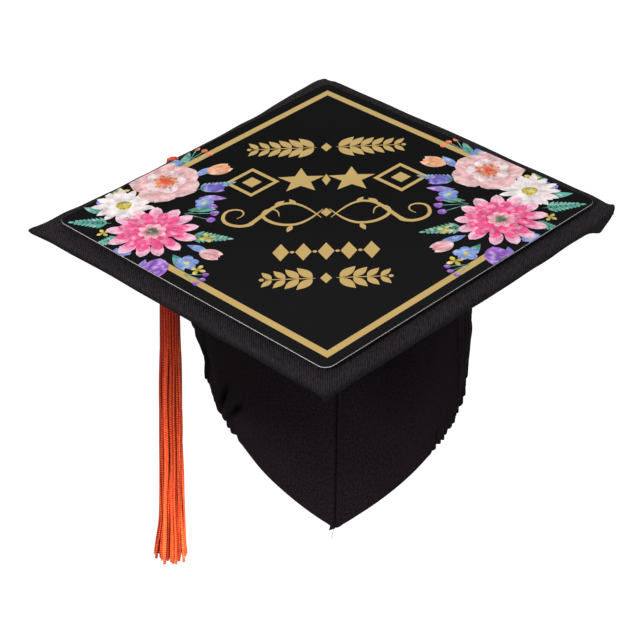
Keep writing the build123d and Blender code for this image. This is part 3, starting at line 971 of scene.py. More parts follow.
# %% Five rows of ornament
def garland(level, half_width, pairs, length, width, spread):
    """A lozenge with pairs of leaves on a thin stem to both sides."""
    lozenge((0, level), 7, 11)
    for side in (-1, 1):
        stem = [(side * 6, level), (side * half_width / 2, level), (side * half_width, level)]
        gold_shapes.append(pen_stroke(stem, 0.9, gold_level(), 0.3))
        for pair in range(pairs):
            share = pair / (pairs - 1)
            x, size = side * (8 + (half_width - 12) * share), 1 - 0.35 * share
            for up in (-1, 1):
                leaf((x, level + up * 0.5), length * size, width * size, -side * (90 - up * spread))
        dot((side * (half_width + 2), level), 1.5)


def chain(level, count, width, height, pitch):
    """Lozenges with dots between them."""
    for step in range(count):
        x = (step - (count - 1) / 2) * pitch
        lozenge((x, level), width, height)
        if step < count - 1:
            dot((x + pitch / 2, level), 1.3)


STAR_ROW = 37
garland(78, 48, 6, 15.5, 6.4, 50)
for side in (-1, 1):
    star((side * 16, STAR_ROW), 15.5)
    ring((side * 47, STAR_ROW), 17.5, 3.8)
    lozenge((side * 47, STAR_ROW), 12.5, 12.5)
lozenge((0, STAR_ROW), 5.5, 14)
chain(-46, 5, 10, 19, 13.6)
garland(-75, 36, 4, 14.5, 6.6, 50)

# %% The flourish between the rows
FLOURISH_ROW = -2
OUTER_CURL = [(3, -6), (14, 11), (29, 13), (40, -2), (49, -15), (64, -9), (63, 6), (52, 7), (50, -1), (55, -4)]
INNER_CURL = [(2, 4), (12, -12), (28, -14), (40, -4), (38, 6), (29, 5), (29, -3)]
for side in (-1, 1):
    for curl, width in ((OUTER_CURL, 3.0), (INNER_CURL, 2.6)):
        places = [(side * x, y + FLOURISH_ROW) for x, y in curl]
        gold_shapes.append(pen_stroke(places, width, gold_level()))
    for x, y, turn in ((44, -7, 150), (19, 10, 30), (32, 10, -50), (21, -14, 160)):
        leaf((side * x, y + FLOURISH_ROW), 8, 3.6, side * -turn)
lozenge((0, FLOURISH_ROW), 7, 10)
print("gold shapes", len(gold_shapes))

# %% Printed gold: flat ink, a little mottled
print_gold = mottled("print_gold", 0.5, (205, 172, 102), 90.0, 0.22, 0.00002, Specular_IOR_Level=0.35)
for name, shapes in (("gold_frame", frame_lines), ("gold_ornament", gold_shapes)):
    gold = joined(name, shapes)
    dress(gold, print_gold)
    declare(gold, "cap", "printed_card")

# %% [markdown]
# ## Painted flowers
# Garden flowers in a watercolour manner fill the left and the right corner. A petal is one flat strip that the rule
# widens, rounds or notches. Each keeps a UV map, from stalk to tip and from side to side, and two colours, so its
# paint can run from the one to the other and pool at the rim. Petals of a flower tilt a little, like a fan, so that
# each lies partly under the next one.

# %% A petal with its two colours
petal_blank = strip_blank("petal_blank", 7, 4)
INK_LAYERS = ("stalk_ink", "tip_ink")
for layer in INK_LAYERS:
    for blank in (petal_blank, round_blank, stroke_blank):
        blank.data.color_attributes.new(layer, "FLOAT_COLOR", "POINT")
painted = []
dice = random.Random(7)


def paint_with(shape, *colours):
    """Fills the two colour layers of a shape, for its stalk and its tip."""
    for layer, colour in zip(INK_LAYERS, colours):
        shape.data.color_attributes[layer].data.foreach_set("color", np.tile(colour, len(shape.data.vertices)))
    painted.append(shape)


def petal(at, turn, length, width, stalk, tip, level, fullness=1.0, blunt=0.7, notch=0.0, bend=0.0, tilt=0.0):
    """fullness above 1 widens the petal towards its tip, blunt below 1 rounds it, notch cuts it and bend curves it."""

    def rule(x, y, z):
        u = 2 * x
        wide = width / 2 * np.sin(math.pi * np.clip(y, 0.001, 0.999) ** fullness) ** blunt
        along = length * y * (1 - notch * (1 - np.abs(u)) ** 2 * y**6)
        return placed(u * wide + bend * length * y * y, along, at, turn, CARD_TOP + (level + tilt * u) * SHEET_LIFT)

    paint_with(stamp(petal_blank, rule), stalk, tip)


def spot(at, radius, colour, level, rim=None):
    """A dab of paint, not quite round."""
    wobble = 0.12 * math.sin(at[0] * 3.1 + at[1])

    def rule(x, y, z):
        reach = radius * (1 + wobble * np.sin(3 * np.arctan2(y, x)))
        return placed(x * reach, y * reach, at, 0, CARD_TOP + level * SHEET_LIFT)

    paint_with(stamp(round_blank, rule), colour, rim or colour)


def off_from(at, distance, bearing):
    """The place at a distance from another; a bearing of 0 degrees is along Y."""
    c, s = heading(bearing + 90)
    return at[0] + distance * c, at[1] + distance * s


def rosette(at, count, reach, length, width, stalk, tip, level, turn, **shape):
    """A ring of petals whose stalks are reach from the middle."""
    for step in range(count):
        angle = turn + 360 * step / count + dice.uniform(-3, 3)
        size = 1 + dice.uniform(-0.06, 0.06)
        foot = off_from(at, reach, angle)
        petal(foot, angle, length * size, width * size, stalk, tip, level, tilt=0.8, **shape)


def stamens(at, count, pace, near, growth, radius, colour, level):
    """Dabs round a middle, pace radians apart, each a little farther out than the last one."""
    for step in range(count):
        angle, reach = pace * step, near + growth * step
        spot((at[0] + reach * math.cos(angle), at[1] + reach * math.sin(angle)), radius, colour, level)


# %% Paint colours
HOT, PINK, PALE = ink(240, 30, 108), ink(247, 104, 164), ink(252, 206, 224)
BLUSH, ROSE, CREAM = ink(246, 206, 205), ink(228, 140, 150), ink(250, 240, 240)
CORAL, ORANGE, PEACH = ink(228, 82, 52), ink(244, 148, 84), ink(250, 196, 160)
VIOLET, LILAC, PERI, SKY = ink(104, 58, 170), ink(178, 110, 214), ink(112, 124, 212), ink(140, 186, 226)
TEAL, SEA, FERN, OLIVE = ink(26, 140, 116), ink(110, 190, 178), ink(66, 120, 82), ink(150, 150, 60)
YELLOW, SLATE = ink(246, 214, 74), ink(84, 96, 92)

# %% Flowers, each round a middle
SPIRAL = 2.4  # radians between the seeds of a real flower's head


def zinnia(at, size, turn):
    """Four rings of rounded petals, hot pink inside and pale at the rim."""
    for count, reach, length, width, stalk, tip, level, ahead in (
        (13, 0.5, 0.52, 0.30, PINK, PALE, 9, 0), (12, 0.34, 0.46, 0.27, HOT, PINK, 11, 14),
        (10, 0.16, 0.42, 0.25, HOT, PINK, 13, 5), (8, 0.04, 0.28, 0.19, HOT, PALE, 15, 20),
    ):
        rosette(at, count, reach * size, length * size, width * size, stalk, tip, level, turn + ahead, blunt=0.5)
    spot(at, 0.13 * size, SLATE, 17)
    for step in range(7):
        angle = 2 * math.pi * step / 7 + 0.3
        spot((at[0] + 0.14 * size * math.cos(angle), at[1] + 0.14 * size * math.sin(angle)), 0.035 * size, OLIVE, 18)


def dog_rose(at, size, turn):
    """Five broad notched petals round a warm eye with stamens."""
    rosette(at, 5, 0.05 * size, 0.95 * size, 0.98 * size, ROSE, BLUSH, 9, turn, fullness=1.5, blunt=0.6, notch=0.14)
    rosette(at, 5, 0.04 * size, 0.55 * size, 0.5 * size, ROSE, CREAM, 11, turn + 36, fullness=1.4, blunt=0.6)
    rosette(at, 9, 0.02 * size, 0.34 * size, 0.15 * size, CORAL, ORANGE, 13, turn, fullness=1.2)
    spot(at, 0.12 * size, CORAL, 15)
    stamens(at, 11, SPIRAL, 0.16 * size, 0.018 * size, 0.03 * size, SLATE, 16)


def daisy(at, size, turn):
    """Slim white petals in two rings round a yellow button."""
    rosette(at, 13, 0.14 * size, 0.86 * size, 0.3 * size, BLUSH, CREAM, 6, turn, blunt=0.5)
    rosette(at, 11, 0.14 * size, 0.7 * size, 0.26 * size, CREAM, CREAM, 8, turn + 12, blunt=0.5)
    spot(at, 0.25 * size, YELLOW, 10, OLIVE)
    stamens(at, 8, SPIRAL, 0.19 * size, 0, 0.035 * size, OLIVE, 11)


def cup(at, size, turn, dark, light):
    """A tulip from the side: two outer petals and one in front."""
    petal(at, turn + 18, size, 0.5 * size, dark, light, 7, blunt=0.7, bend=0.1)
    petal(at, turn - 18, size, 0.5 * size, dark, light, 8, blunt=0.7, bend=-0.1)
    petal(at, turn, 0.96 * size, 0.56 * size, light, dark, 9, blunt=0.6)


def bluet(at, size, turn):
    """A small five-petalled flower with a yellow eye."""
    rosette(at, 5, 0.04 * size, 0.95 * size, 0.8 * size, SKY, PERI, 5, turn, fullness=1.4, blunt=0.6)
    spot(at, 0.2 * size, YELLOW, 7)


def starlet(at, size, turn):
    """A tiny yellow flower with four petals."""
    rosette(at, 4, 0, size, 0.55 * size, OLIVE, YELLOW, 5, turn, fullness=1.3)


# %% Leaves and berries
def blade(at, size, turn, dark, light):
    """One pointed leaf with a pale rib."""
    petal(at, turn, size, 0.36 * size, dark, light, 2, blunt=1.1, bend=0.12)


def frond(at, size, turn, dark, light):
    """A fern: leaflets in pairs along a thin rib, smaller towards the tip."""
    paint_with(pen_stroke([at, off_from(at, size, turn)], 0.7, CARD_TOP + SHEET_LIFT, 0.5), dark, light)
    for step in range(7):
        foot = off_from(at, size * (0.12 + 0.12 * step), turn)
        for side in (-1, 1):
            petal(foot, turn + side * 48, size * (0.34 - 0.035 * step), 0.1 * size, dark, light, 2, blunt=1.0)
    petal(off_from(at, size * 0.9, turn), turn, 0.2 * size, 0.09 * size, dark, light, 2, blunt=1.0)


def berries(at, size, turn, dark, light):
    """A sprig with three stalks, each with a berry."""
    for side in (-1, 0, 1):
        end = off_from(at, size, turn + 24 * side)
        paint_with(pen_stroke([at, end], 0.6, CARD_TOP + 2 * SHEET_LIFT, 0.5), FERN, SEA)
        spot(end, 0.15 * size, dark, 4, light)


# %% One spray of flowers, then its mirror image
LEAFY = (  # what, then its place in x and y, size, turn and two inks
    (frond, -132, -6, 25, 84, TEAL, SEA), (frond, -124, -22, 20, 118, TEAL, SEA),
    (frond, -126, 26, 22, 62, FERN, SEA), (frond, -84, -24, 26, -100, FERN, SEA),
    (frond, -92, 62, 15, -12, TEAL, SEA), (frond, -82, 30, 24, -72, FERN, SKY),
    (blade, -120, -40, 18, 140, PERI, SKY), (blade, -108, -48, 16, 172, PERI, LILAC),
    (blade, -92, -44, 20, -150, TEAL, SEA), (blade, -84, -34, 17, -118, PERI, SKY),
    (blade, -121, 38, 15, 40, PERI, SKY), (blade, -104, 56, 17, 8, PERI, LILAC),
    (blade, -84, 46, 18, -40, PERI, SKY), (blade, -80, 20, 18, -88, PERI, LILAC),
    (blade, -136, 6, 17, 70, TEAL, SEA), (blade, -86, 6, 18, -84, FERN, SEA),
    (berries, -88, 2, 19, -92, VIOLET, LILAC), (berries, -88, 68, 14, -40, CORAL, ORANGE),
    (berries, -84, -66, 13, -120, VIOLET, LILAC), (cup, -76, 50, 17, -62, ORANGE, PEACH),
    (cup, -78, 33, 15, -98, VIOLET, PERI), (cup, -99, -48, 20, 168, VIOLET, LILAC),
    (cup, -76, -42, 15, -118, ROSE, BLUSH),
)
BLOSSOMS = (  # what, then its place in x and y, size and turn
    *((bluet, x, y, size, 20 * x) for x, y, size in (
        (-137, 17, 7.5), (-76, 14, 6.5), (-83, -54, 8.0), (-122, -38, 6.5), (-98, 63, 6.0)
    )),
    *((starlet, x, y, size, 11 * x) for x, y, size in (
        (-129, 31, 5.5), (-118, 47, 4.5), (-72, -27, 5.0), (-76, -62, 5.5), (-136, -17, 4.5)
    )),
    (daisy, -126, 14, 20, 10), (dog_rose, -102, 41, 24, 20), (zinnia, -106, -18, 28, 0),
)
for side in (-1, 1):  # the mirror image is planned with the same numbers, its X turned over
    for plant, x, y, size, turn, *inks in LEAFY + BLOSSOMS:
        plant((side * -x, y), size, -side * turn, *inks)
flowers = joined("painted_flowers", painted)

# %% Trim the flowers to the card, as a print that bleeds over its edge
BLEED = CARD_HALF - CARD_EDGE - 0.05
for quarter in range(4):
    away = (*heading(45 + 90 * quarter), 0)
    edit_all(flowers)
    bpy.ops.mesh.bisect(plane_co=[c * BLEED * MM for c in away], plane_no=away, clear_outer=True)
    leave_edit()
print("flowers", len(flowers.data.polygons), "faces")

# %% Watercolour finish
watercolour, tree, shader = finish_for("print_watercolour", 0.55, Specular_IOR_Level=0.3)
uv = add(tree, "SeparateXYZ", {0: place_of(tree, "UV")}).outputs
stalk, tip = (add(tree, "Attribute", attribute_name=layer).outputs["Color"] for layer in INK_LAYERS)
pools = use(tree, blotches, Vector=place_of(tree), Scale=170.0, Amount=1.6).outputs
brush = add(tree, "CombineXYZ", {0: calc(tree, "MULTIPLY", uv[0], 7.0), 1: calc(tree, "MULTIPLY", uv[1], 1.2)})
drawn = add(tree, "VectorMath", {0: place_of(tree), "Scale": 90.0}, operation="SCALE")
brushed = add(tree, "VectorMath", {0: brush.outputs[0], 1: drawn.outputs[0]}, operation="ADD")
streak = add(tree, "TexNoise", {"Vector": brushed.outputs[0], "Scale": 1.0, "Detail": 2.0})
rim = calc(tree, "POWER", calc(tree, "ABSOLUTE", calc(tree, "MULTIPLY_ADD", uv[0], 2.0, -1.0)), 3.0)
run_out = calc(tree, "MULTIPLY_ADD", calc(tree, "SUBTRACT", streak.outputs[0], 0.5), 1.5, uv[1])
blend = calc(tree, "MAXIMUM", run_out, calc(tree, "MULTIPLY", rim, 0.75), use_clamp=True)
wash = add(tree, "Mix", {"Factor": blend, "A": stalk, "B": tip}, data_type="RGBA").outputs["Result"]
grain = add(tree, "TexNoise", {"Vector": place_of(tree), "Scale": 260.0, "Detail": 3.0})
dry_range = {"Value": grain.outputs[0], "From Min": 0.5, "From Max": 0.75, "To Min": 0.0, "To Max": 0.5}
dry = add(tree, "MapRange", dry_range)
paper = add(tree, "Mix", {"Factor": dry.outputs[0], "A": wash, "B": ink(255, 252, 250)}, data_type="RGBA")
colour_times(tree, shader, paper.outputs["Result"], pools["Shade"])
bump(tree, shader, pools["Fine"], 0.00002)
dress(flowers, watercolour)
declare(flowers, "cap", "printed_card")
discard(round_blank, square_blank, star_blank, leaf_blank, stroke_blank, petal_blank)

# %% [markdown]
# ## The skullcap
# Two front panels and a back panel make a soft wall that follows an oval. The front panels run down to a point and
# meet in a seam with a slight ridge to each side. The back panel and the sides of the front panels are gathered by
# elastic in a casing, so their hem is ruffled. The cap is soft: its left side is pushed up in folds and its right
# side hangs lower. One function says where the cloth is at any angle round the oval and any level, and every
# panel, facing and casing is laid on it, each by its own inset, so that they all share the same folds.

# %% The oval and the hem
OVAL_WIDE, OVAL_DEEP = box_of("skull_back_panel")[1][0], -box_of("skull_front_left")[0][1]
WALL_TOP = BOARD_BOTTOM
SIDE_SEAM = 60.0  # degrees from the front seam
HEM = {  # angle round the oval: depth under the head seat
    -180: 78, -120: 79, -88: 79, -72: 76, -64: 78, -58: 86.5, -54: 92.6, -51.5: 97, -49: 103, -46: 105,
    -42: 107.3, -38: 111, -30: 123.6, -20: 136.5, -10: 149, 0: 161.5, 10: 150, 20: 141, 30: 133.5, 40: 126.5,
    50: 122.5, 56: 119.5, 60: 116.8, 68: 111, 73: 105, 79: 96, 88: 90, 105: 84, 125: 80, 180: 78,
}


def oval(angle):
    """Place and outward direction on the oval; the angle goes from the front seam towards +X, in degrees."""
    turn = np.radians(angle)
    sine, cosine = np.sin(turn), -np.cos(turn)
    reach = 1 / np.sqrt((sine / OVAL_WIDE) ** 2 + (cosine / OVAL_DEEP) ** 2)
    x, y = reach * sine, reach * cosine
    out_x, out_y = x / OVAL_WIDE**2, y / OVAL_DEEP**2
    size = np.hypot(out_x, out_y)
    return x, y, out_x / size, out_y / size


round_angles = np.linspace(-180, 180, 721)
arc_lengths = length_along(np.column_stack(oval(round_angles)[:2]))
arc_lengths -= np.interp(0, round_angles, arc_lengths)


def arc(angle):
    """Length round the oval from the front seam."""
    return np.interp(angle, round_angles, arc_lengths)


def hem_level(angle):
    """The hem's level: smooth between its design depths, but sharp at the front point."""
    soft = np.clip(np.abs(angle) * 0.4, 0, 4.5)
    offsets = np.linspace(-1, 1, 9)
    return -np.mean([np.interp(angle + step * soft, list(HEM), list(HEM.values())) for step in offsets], axis=0)


print("oval", round(OVAL_WIDE, 1), "by", round(OVAL_DEEP, 1), "round", round(arc_lengths[-1] - arc_lengths[0], 1))

# %% Gathers: puffs, drapes and stitches
STITCH_HEIGHT = 11.0  # the casing's stitches above the hem


def elastic_share(angle):
    """0 on the smooth front, 1 where the elastic gathers the cloth."""
    return smooth(np.abs(angle), 37, 45)


def ruffle(angle):
    """Small rounded puffs with sharp creases between them, unevenly spaced; -1 in a crease and 1 on a puff."""
    run = arc(angle)
    puff = np.abs(np.sin(math.pi * (run + 1.1 * np.sin(run / 7.3) + 0.7 * np.sin(run / 3.1)) / 4.6))
    return (2 * puff - 1) * (0.75 + 0.25 * np.sin(run / 5.7 + 1.0))


def gathers(angle, above):
    """How far the cloth stands out by its gathers, at a height above the hem."""
    run = arc(angle)
    near, middle, far = (bell(above, 0, height) for height in (10, 24, 46))
    fold = np.sin(run / 2.1 + 1.4 * np.sin(run / 11)) * 0.45 * middle
    drape = (np.sin(run / 4.4 + 1.8 * np.sin(run / 23)) * 0.8 + 0.5 * np.sin(run / 7.7)) * far * smooth(above, 2, 24)
    stitch = -0.55 * bell(above, STITCH_HEIGHT, 1.1)
    draw_in = (0.8 + 2.6 * smooth(np.abs(angle), 66, 96)) * middle
    return elastic_share(angle) * (0.75 * ruffle(angle) * near + fold + drape + stitch - draw_in)


# %% Folds and fullness
FOLDS = (  # angle, level, half width in degrees, half height, amount outwards, slope in degrees per millimetre
    (-58.0, -67, 1.5, 9, -1.6, -0.48), (-54.5, -79, 1.8, 11, 2.4, -0.12), (-47.6, -83, 1.3, 9.5, -3.4, 0.26),
    (-41.5, -88, 1.7, 8.0, -3.0, 0.47), (-45.5, -92, 3.0, 5, 1.2, 0.6), (-51.5, -67, 1.6, 9, 1.0, -0.1),
    (-66, -71, 4.0, 9, 1.0, 0.0), (-36, -96, 8, 10, 0.8, 0.2), (64.5, -74, 1.6, 26, 1.1, 0.08),
    (68, -68, 2.6, 22, -0.8, 0.06), (40, -96, 12, 22, 0.7, 0.1), (-22, -108, 12, 24, 0.6, 0.05),
    (22, -70, 10, 18, -0.5, 0.0), (-84, -60, 12, 4.5, 1.8, 0.0), (-80, -71, 11, 5, -1.9, 0.0),
    (-59, -86, 3.0, 5, -0.7, 0.0), (84, -66, 14, 8, 2.0, 0.0),
)
SWELLINGS = (  # amount outwards, level, half height, the angles where it starts and ends, each over a range
    (1.2, -80, 22, 50, 76, 100, 125), (1.9, -44, 12, -125, -100, -70, -58), (1.7, -88, 20, -78, -66, -50, -40),
)


def single_folds(angle, z):
    """How far the single folds stand out."""
    out = 0 * z
    for at, level, wide, tall, amount, slope in FOLDS:
        out = out + amount * bell(angle, at + slope * (z - level), wide) * bell(z, level, tall)
    return out


def painted_wall_shading(angle, z):
    """Painted light and shade on the wall: lighter towards the point and on the right, painted shadow up under the
    board on the left, painted shade in the front seam and in the tucked pocket, lighter on folds that stand out and
    darker in folds that sink in.
    """
    on_right = smooth(angle, -10, 45) * (1 - smooth(angle, 90, 170))
    on_left = (1 - smooth(angle, -32, 12)) * smooth(angle, -170, -90)
    # Painted light: lighter towards the point and on the right.
    painted_lit = 0.85 + 0.75 * smooth(-z, 62, 165) + 0.5 * on_right
    # Painted shadow of the board on the upper left.
    under = 0.32 * on_left * (1 - smooth(-z, 70, 125))
    # Painted shade in the seam's groove and in the tucked pocket.
    seam = 0.35 * bell(arc(angle), 0, 0.5)
    tucked = 0.3 * bell(angle, -61, 5.0) * bell(z, -68, 12)
    return np.clip(painted_lit - under - seam - tucked + 0.32 * single_folds(angle, z), 0.08, 2)


def fullness(angle, z):
    """Broad swelling of the soft wall, the front seam's ridge, the side seams' grooves and the single folds."""
    out = -4.2 * smooth(-z, 60, 74) * smooth(angle, -112, -84) * (1 - smooth(angle, -70, -60))
    for amount, level, tall, first, full, fade, last in SWELLINGS:
        out = out + amount * bell(z, level, tall) * smooth(angle, first, full) * (1 - smooth(angle, fade, last))
    seam, side = np.abs(arc(angle)), np.abs(arc(np.abs(angle)) - arc(SIDE_SEAM))
    out = out + 0.5 * bell(seam, 2.4, 1.7) - 1.1 * bell(seam, 0, 0.5)
    out = out + 0.3 * bell(side, 2.2, 1.5) - 0.9 * bell(side, 0, 0.7)
    slow = np.sin(angle / 17.0 + z / 31.0) * 0.5 + np.sin(angle / 9.0 - z / 23.0 + 1.0) * 0.3
    return out + single_folds(angle, z) + slow * smooth(-z, 6, 40)


# %% The wall itself
def seam_lean(angle, z):
    """The front seam does not hang quite upright: it starts a little to the right and ends on the left."""
    return (4.2 + 0.0315 * z) * np.clip(1 - np.abs(angle) / SIDE_SEAM, 0, 1)


def wall(angle, share, inset=0.0, above_hem=None):
    """The cloth at an angle and at a share of the way down, or at a height above the hem."""
    angle = np.where(angle > 180, angle - 360, angle)
    hem = hem_level(angle) - 0.5 * elastic_share(angle) * (ruffle(angle) + 0.4)
    z = WALL_TOP + (hem - WALL_TOP) * share if above_hem is None else hem + above_hem
    x, y, out_x, out_y = oval(angle + seam_lean(angle, z))
    out = gathers(angle, z - hem) + fullness(angle, z) - inset
    return x + out * out_x, y + out * out_y, z


# %% Cutting a flat cloth and laying it
def cloth_grid(name, columns, rows, flat, rule):
    """A grid with its UV map in metres of flat cloth, laid by rule(u, v): u to the right and v downwards."""
    bpy.ops.mesh.primitive_grid_add(x_subdivisions=columns, y_subdivisions=rows, size=MM)
    cloth = named(name)
    corners = cloth.data.uv_layers[0].data
    corners.foreach_set("uv", (read(corners, "uv", 2) * np.array(flat) * MM).ravel())
    return mould(cloth, lambda x, y, z: rule(x + 0.5, 0.5 - y))


SKULL_CLOTH = 0.9
PANELS = (  # name, node, first angle, last angle, columns, rows, flat width, flat height
    ("skull_front_left_cloth", "skull_front_left", -SIDE_SEAM, 0.0, 230, 84, 98, 163),
    ("skull_front_right_cloth", "skull_front_right", 0.0, SIDE_SEAM, 230, 84, 98, 163),
    ("skull_back_cloth", "skull_back_panel", SIDE_SEAM, 360 - SIDE_SEAM, 660, 64, 440, 88),
)
skull_cloth = black_cloth("skull_cloth", (24, 18, 22), "UV", 0.0009, 0.5, 0.5, 0.00007, gloss=0.03, painted_light=True)


def skull_panel(name, node, first, last, columns, rows, *flat):
    """One panel of the wall, thickened inwards."""
    panel = cloth_grid(name, columns, rows, flat, lambda u, v: wall(first + (last - first) * u, v))
    angle = np.tile(np.linspace(first, last, columns + 1), rows + 1)
    # Painted light and shade, kept in the attribute "open".
    openness(panel, painted_wall_shading(np.where(angle > 180, angle - 360, angle), points_of(panel)[:, 2]))
    thicken(panel, SKULL_CLOTH)
    dress(panel, skull_cloth)
    declare(panel, "cap", "skull_cloth", node)
    return panel


left_cloth, right_cloth, back_cloth = (skull_panel(*row) for row in PANELS)

# %% [markdown]
# ## Inside the skullcap
# The front hem is faced with a strip of lining, tape covers the front seam, and its folded end hangs out below the
# point as a small tab with a thread. The casing at the back holds the elastic. An oval lining closes the crown.

# %% Strips and tapes inside the wall
LINING_BLACK = (30, 28, 31)
LINING_INSET = 1.15  # from the wall's outer side
lining_cloth = black_cloth("lining_cloth", LINING_BLACK, "UV", 0.0007, 0.6, 0.6, 0.00005, roughness=0.6)
elastic_webbing = black_cloth("elastic_webbing", (60, 58, 60), "UV", 0.0012, 1.0, 0.5, 0.0002)


def sewn_in(name, columns, rows, flat, rule, thickness, node, slot="lining_cloth", finish=lining_cloth):
    """A strip of cloth inside the wall."""
    strip = thicken(cloth_grid(name, columns, rows, flat, rule), thickness)
    dress(strip, finish)
    declare(strip, "cap", slot, node)
    return strip


def along_hem(first, last, low, high, inset):
    """The rule for a strip between two angles and two heights above the hem."""
    return lambda u, v: wall(first + (last - first) * u, 0, inset, high + (low - high) * v)


def tape_rule(u, v):
    """The tape hangs from the crown to the facing, over the seam."""
    return wall(3.4 * (2 * u - 1), 0.01 + 0.915 * v, 1.2)


def casing_rule(u, v):
    """The casing bellies away from the wall round the elastic and meets it again at both stitched edges."""
    belly = 2.1 * np.sqrt(np.clip(4 * v * (1 - v), 0, 1))
    return wall(60.5 + 239 * u, 0, LINING_INSET + belly, 11.4 - 11.2 * v)


hem_line = along_hem(-59.4, 59.4, 0.1, 12, LINING_INSET)
facing = sewn_in("hem_facing_cloth", 300, 6, (190, 12), hem_line, 0.5, "front_hem_facing")
tape = sewn_in("seam_tape_cloth", 10, 60, (12, 149), tape_rule, 0.5, "front_seam_tape")
casing = sewn_in("casing_cloth", 560, 12, (440, 16), casing_rule, 0.35, "elastic_casing")
band_line = along_hem(61, 299, 2.2, 9.0, 1.5)
sewn_in("elastic_strip", 420, 7, (300, 7), band_line, 0.8, "elastic_band", "elastic_webbing", elastic_webbing)

# %% The crown's lining: an oval that sags a little, puckered where it is sewn in
CROWN_LEVEL, CROWN_SAG, CROWN_INSET = 0.72, 1.1, 1.6
bpy.ops.mesh.primitive_circle_add(vertices=200, radius=MM, fill_type="NGON", location=(0, 0, 0))
crown = named("crown_lining_cloth")
edit_all(crown)
for ring_width in (0.012, 0.015, 0.02, 0.03, 0.05, 0.08, 0.12, 0.15, 0.18, 0.15):  # shares of the disc's radius
    bpy.ops.mesh.inset(thickness=ring_width * MM)
bpy.ops.mesh.poke()
leave_edit()


def crown_rule(x, y, z):
    """The unit disc stretched to the oval, lowest in its middle."""
    reach = np.hypot(x, y)
    pucker = 0.35 * np.sin(arc(np.degrees(np.arctan2(x, -y))) / 1.9) * smooth(reach, 0.8, 1)
    level = CROWN_LEVEL - CROWN_SAG * (1 - reach**2) - 0.35 * (1 - reach) + pucker * 0.5
    return x * (OVAL_WIDE - CROWN_INSET), y * (OVAL_DEEP - CROWN_INSET), level


thicken(mould(crown, crown_rule), 0.4, offset=0)
dress(crown, black_cloth("crown_lining_satin", LINING_BLACK, "Object", 0.0007, 0.6, 0.6, 0.00005, roughness=0.5))
declare(crown, "cap", "lining_cloth", "crown_lining")

# %% The tab: a strip folded once, with its cut end below the point
TAB_HALF, TAB_THICK, TAB_TOP, TAB_DROP = 2.2, 0.5, -157.0, 8.6


def tab_rule(u, v):
    """Down inside the facing, out under the point, and back up in a flat fold."""
    drop = np.where(v < 0.5, 2 * v, 2 - 2 * v)
    fold = np.sin(math.pi * np.clip((v - 0.38) / 0.24, 0, 1))
    x = TAB_HALF * (2 * u - 1) * (1 - 0.15 * drop) - 1.6 - 2.2 * drop
    y = -(OVAL_DEEP - 2.6) + np.where(v < 0.5, 0, 0.9) + 0.3 * np.sin(3 * v) - 0.6 * drop
    return x, y, TAB_TOP - TAB_DROP * drop + 0.5 * fold - 1.6 * drop * (0.5 - u)


tab = thicken(cloth_grid("point_tab_cloth", 8, 28, (4.5, 18), tab_rule), TAB_THICK, offset=0)
dress(tab, skull_cloth)
# Painted light: as bright as the wall's lit point.
openness(tab, np.full(len(tab.data.vertices), 1.5))
declare(tab, "cap", "skull_cloth", "front_point_tab")

# %% Loose thread at the point, and the casing's row of stitches
THREAD_RADIUS, STITCH_RADIUS, STITCHES = 0.14, 0.17, 150
THREAD_RINGS = 16
loose_end = [(-1.5, -94.5, -157), (-2.5, -95.5, -164), (-4.5, -96.5, -168), (-3.8, -96.8, -170)]
thread_blank = tube_blank("thread_blank", 5, THREAD_RINGS)
loose_line = evenly(smooth_line(loose_end), THREAD_RINGS)
thread_tail = named("thread_tail", lay_tube(thread_blank, loose_line, THREAD_RADIUS))

stitch_blank = tube_blank("stitch_blank", 5, 4)
stitches = []
for step in range(STITCHES):
    angle = 60.8 + 238.4 * (step + np.array([0.14, 0.38, 0.62, 0.86])) / STITCHES
    sink = np.array([0.18, -0.16, -0.16, 0.18])
    stitch_line = np.column_stack(wall(angle, 0, sink, STITCH_HEIGHT))
    stitches.append(lay_tube(stitch_blank, stitch_line, STITCH_RADIUS))
casing_stitches = joined("casing_stitches", stitches)
sewing_thread = yarn_finish("sewing_thread", 0.0004, 1.0, 0.00003, ink(34, 31, 34), ink(14, 12, 13))
for piece in (thread_tail, casing_stitches):
    dress(piece, sewing_thread)
    declare(piece, "cap", "skull_cloth")
discard(thread_blank, stitch_blank)

# %% [markdown]
# ## The tassel
# A tassel is a bundle of yarn, folded over the cord, bound round its neck and cut level at its foot. The yarn is
# plaited, so each strand shows a row of small V stitches. The strands hang side by side in rings from the neck down.
# Each is the same blank tube laid along its own slightly wavy line, and its cut end frays into a few fibres.

# %% The tassel's axis and levels, as they are before it leans
TASSEL_X, TASSEL_Y = REACH * OUTWARD[0], REACH * OUTWARD[1]
KNOT_LEVEL = SWING_LEVEL - 62.0
HEAD_TOP = KNOT_LEVEL - 2.7
HEAD_FOOT = HEAD_TOP - 12.0
COLLAR_FOOT = HEAD_FOOT - 7.0
SKIRT_FOOT = COLLAR_FOOT - 253.0
NECK_RADIUS, FOOT_RADIUS = 4.5, 9.1
print("tassel from", round(HEAD_TOP, 1), "to", round(SKIRT_FOOT, 1), "CAD skirt", box_of("tassel_skirt"))


def hung(x, y, z):
    """A place round the tassel's own upright axis, set into the cap's frame with the tassel's lean."""
    return np.column_stack(leaning(TASSEL_X + x, TASSEL_Y + y, z))


def around(radius, angle, z):
    """A place at a radius and an angle round the tassel's middle line."""
    return hung(radius * np.cos(angle), radius * np.sin(angle), z)


def axis_at(z):
    """The tassel's own middle line."""
    return hung(0 * z, 0 * z, z)


